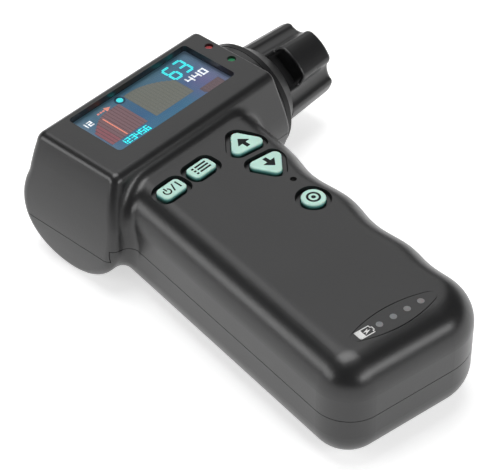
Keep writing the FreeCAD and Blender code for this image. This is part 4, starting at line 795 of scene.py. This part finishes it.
def cell_bar(along, up, length, width):
    x, y = cell_point(along, up)
    return bar(x, y, length * MM, width * MM, grip_print_z, PRINT_DEPTH, 0.08 * MM, row_turn)


def cell_pair(along, up, length, width):
    """A bar of the battery sign and its copy on the other side of the sign's axis."""
    offset = across * (-2 * up * MM)
    return repeated(cell_bar(along, up, length, width), [(offset.x, offset.y)])


FLASH = ((1.6, 0.75), (-0.35, 0.15), (0.55, -0.1), (-0.3, -0.8), (1.9, 0.0), (0.9, 0.2))
cell_marks = [cell_bar(-2.3, 0, 0.3, 2.9), cell_bar(2.78, 0, 0.3, 1.3),
              cell_bar(-1.35, 0, 1.7, 2.3)]
cell_marks += cell_pair(0, 1.35, 4.9, 0.3)
cell_marks += cell_pair(2.3, 0.95, 0.3, 0.9)
cell_marks += cell_pair(2.5, 0.6, 0.7, 0.25)
cell_marks.append(plate([cell_point(*point) for point in FLASH], grip_print_z, PRINT_DEPTH))
joined("charge_sign", cell_marks, printed("white_print", (0.78, 0.78, 0.77)), "case")


# ---------------------------------------------------------------- studio

FLOOR_SIZE = 6
FLOOR_DROP = 0.1 * MM       # how far the floor lies below the part, so that they never share a face
FLOOR_LIFT = 0.6            # the floor's own light, for rays that show the background
MIDDLE = Vector((0, -0.04, 0.02))
LAMPS = (                   # name, place, width, height, power
    ("overhead_box", (0.05, 0.12, 1.15), 0.8, 0.6, 6.4),
    ("back_box", (0.85, 0.76, 1.0), 1.3, 1.1, 3.6),
    ("high_box", (0.12, 0.68, 0.97), 0.4, 0.3, 0.6),
    ("left_strip", (-1.081, 0.662, 0.567), 1.2, 0.44, 6.0),
    ("right_strip", (0.106, -1.256, 0.663), 1.1, 0.36, 6.4),
)
ROOM_TIERS = ((0.0, 1.0), (0.05, 1.0), (0.16, 0.07), (1.0, 0.12))   # height, brightness
LENS = 161.0
VIEW_PLACE = (-0.3508, -0.3547, 0.4306)
VIEW_WAY = (0.5542, 0.5028, -0.6634)


def background_rays(tree):
    """How much a ray is one that shows the background: from the camera, a mirror or glass."""
    path = tree.nodes.new("ShaderNodeLightPath")
    total = path.outputs["Is Camera Ray"]
    for output in ("Is Glossy Ray", "Is Transmission Ray"):
        either = tree.nodes.new("ShaderNodeMath")
        either.operation = "MAXIMUM"
        tree.links.new(total, either.inputs[0])
        tree.links.new(path.outputs[output], either.inputs[1])
        total = either.outputs[0]
    return total


def facing_along(way):
    """The turn that points a lamp or a camera along a direction."""
    return Vector(way).to_track_quat("-Z", "Y").to_euler()


def soft_box(name, place, width, height, power):
    lamp = bpy.data.lights.new(name, "AREA")
    lamp.shape = "RECTANGLE"
    lamp.size, lamp.size_y = width, height
    lamp.energy = power
    holder = bpy.data.objects.new(name, lamp)
    bpy.context.scene.collection.objects.link(holder)
    holder.location = place
    holder.rotation_euler = facing_along(MIDDLE - Vector(place))


clear_selection()
bpy.ops.mesh.primitive_plane_add(size=FLOOR_SIZE, location=(0, 0, -FLOOR_DROP))
floor = bpy.context.object
floor.name = "studio_floor"
paper = Finish("pale_paper")
seen_rays = background_rays(paper.tree)
fibre = paper.noise(900, 3.0, 0.6)
paper.set(Base_Color=paper.ramp(fibre, (0.3, (0.80, 0.80, 0.80)), (0.7, (0.82, 0.82, 0.82))),
          Roughness=0.9, Specular_IOR_Level=0.0)
lift = paper.node("ShaderNodeEmission")
paper.link(paper.maths("MULTIPLY", seen_rays, FLOOR_LIFT), lift.inputs["Strength"])
added = paper.node("ShaderNodeAddShader")
paper.link(paper.shader.outputs[0], added.inputs[0])
paper.link(lift.outputs[0], added.inputs[1])
paper.link(added.outputs[0], paper.out.inputs["Surface"])
floor.data.materials.append(paper.mat)

world = bpy.context.scene.world or bpy.data.worlds.new("studio")
bpy.context.scene.world = world
world.use_nodes = True
sky = world.node_tree
sky.nodes.clear()
sky_out = sky.nodes.new("ShaderNodeOutputWorld")
room = sky.nodes.new("ShaderNodeBackground")
direction = sky.nodes.new("ShaderNodeTexCoord")
height = sky.nodes.new("ShaderNodeSeparateXYZ")
walls = sky.nodes.new("ShaderNodeValToRGB")
sky.links.new(direction.outputs["Generated"], height.inputs[0])
sky.links.new(height.outputs[2], walls.inputs[0])
sky.links.new(walls.outputs[0], room.inputs["Color"])
sky.links.new(room.outputs[0], sky_out.inputs["Surface"])
tiers = walls.color_ramp.elements
while len(tiers) < len(ROOM_TIERS):
    tiers.new(0.5)
for tier, (position, level) in zip(tiers, ROOM_TIERS):
    tier.position = position
    tier.color = (level, level, level, 1)

for lamp in LAMPS:
    soft_box(*lamp)

camera = bpy.data.cameras.new("camera")
camera.sensor_width = 36.0
camera.lens = LENS
camera.clip_start = 0.01
viewer = bpy.data.objects.new("camera", camera)
bpy.context.scene.collection.objects.link(viewer)
viewer.location = VIEW_PLACE
viewer.rotation_euler = facing_along(VIEW_WAY)
bpy.context.scene.camera = viewer
bpy.context.scene.view_settings.view_transform = "Standard"
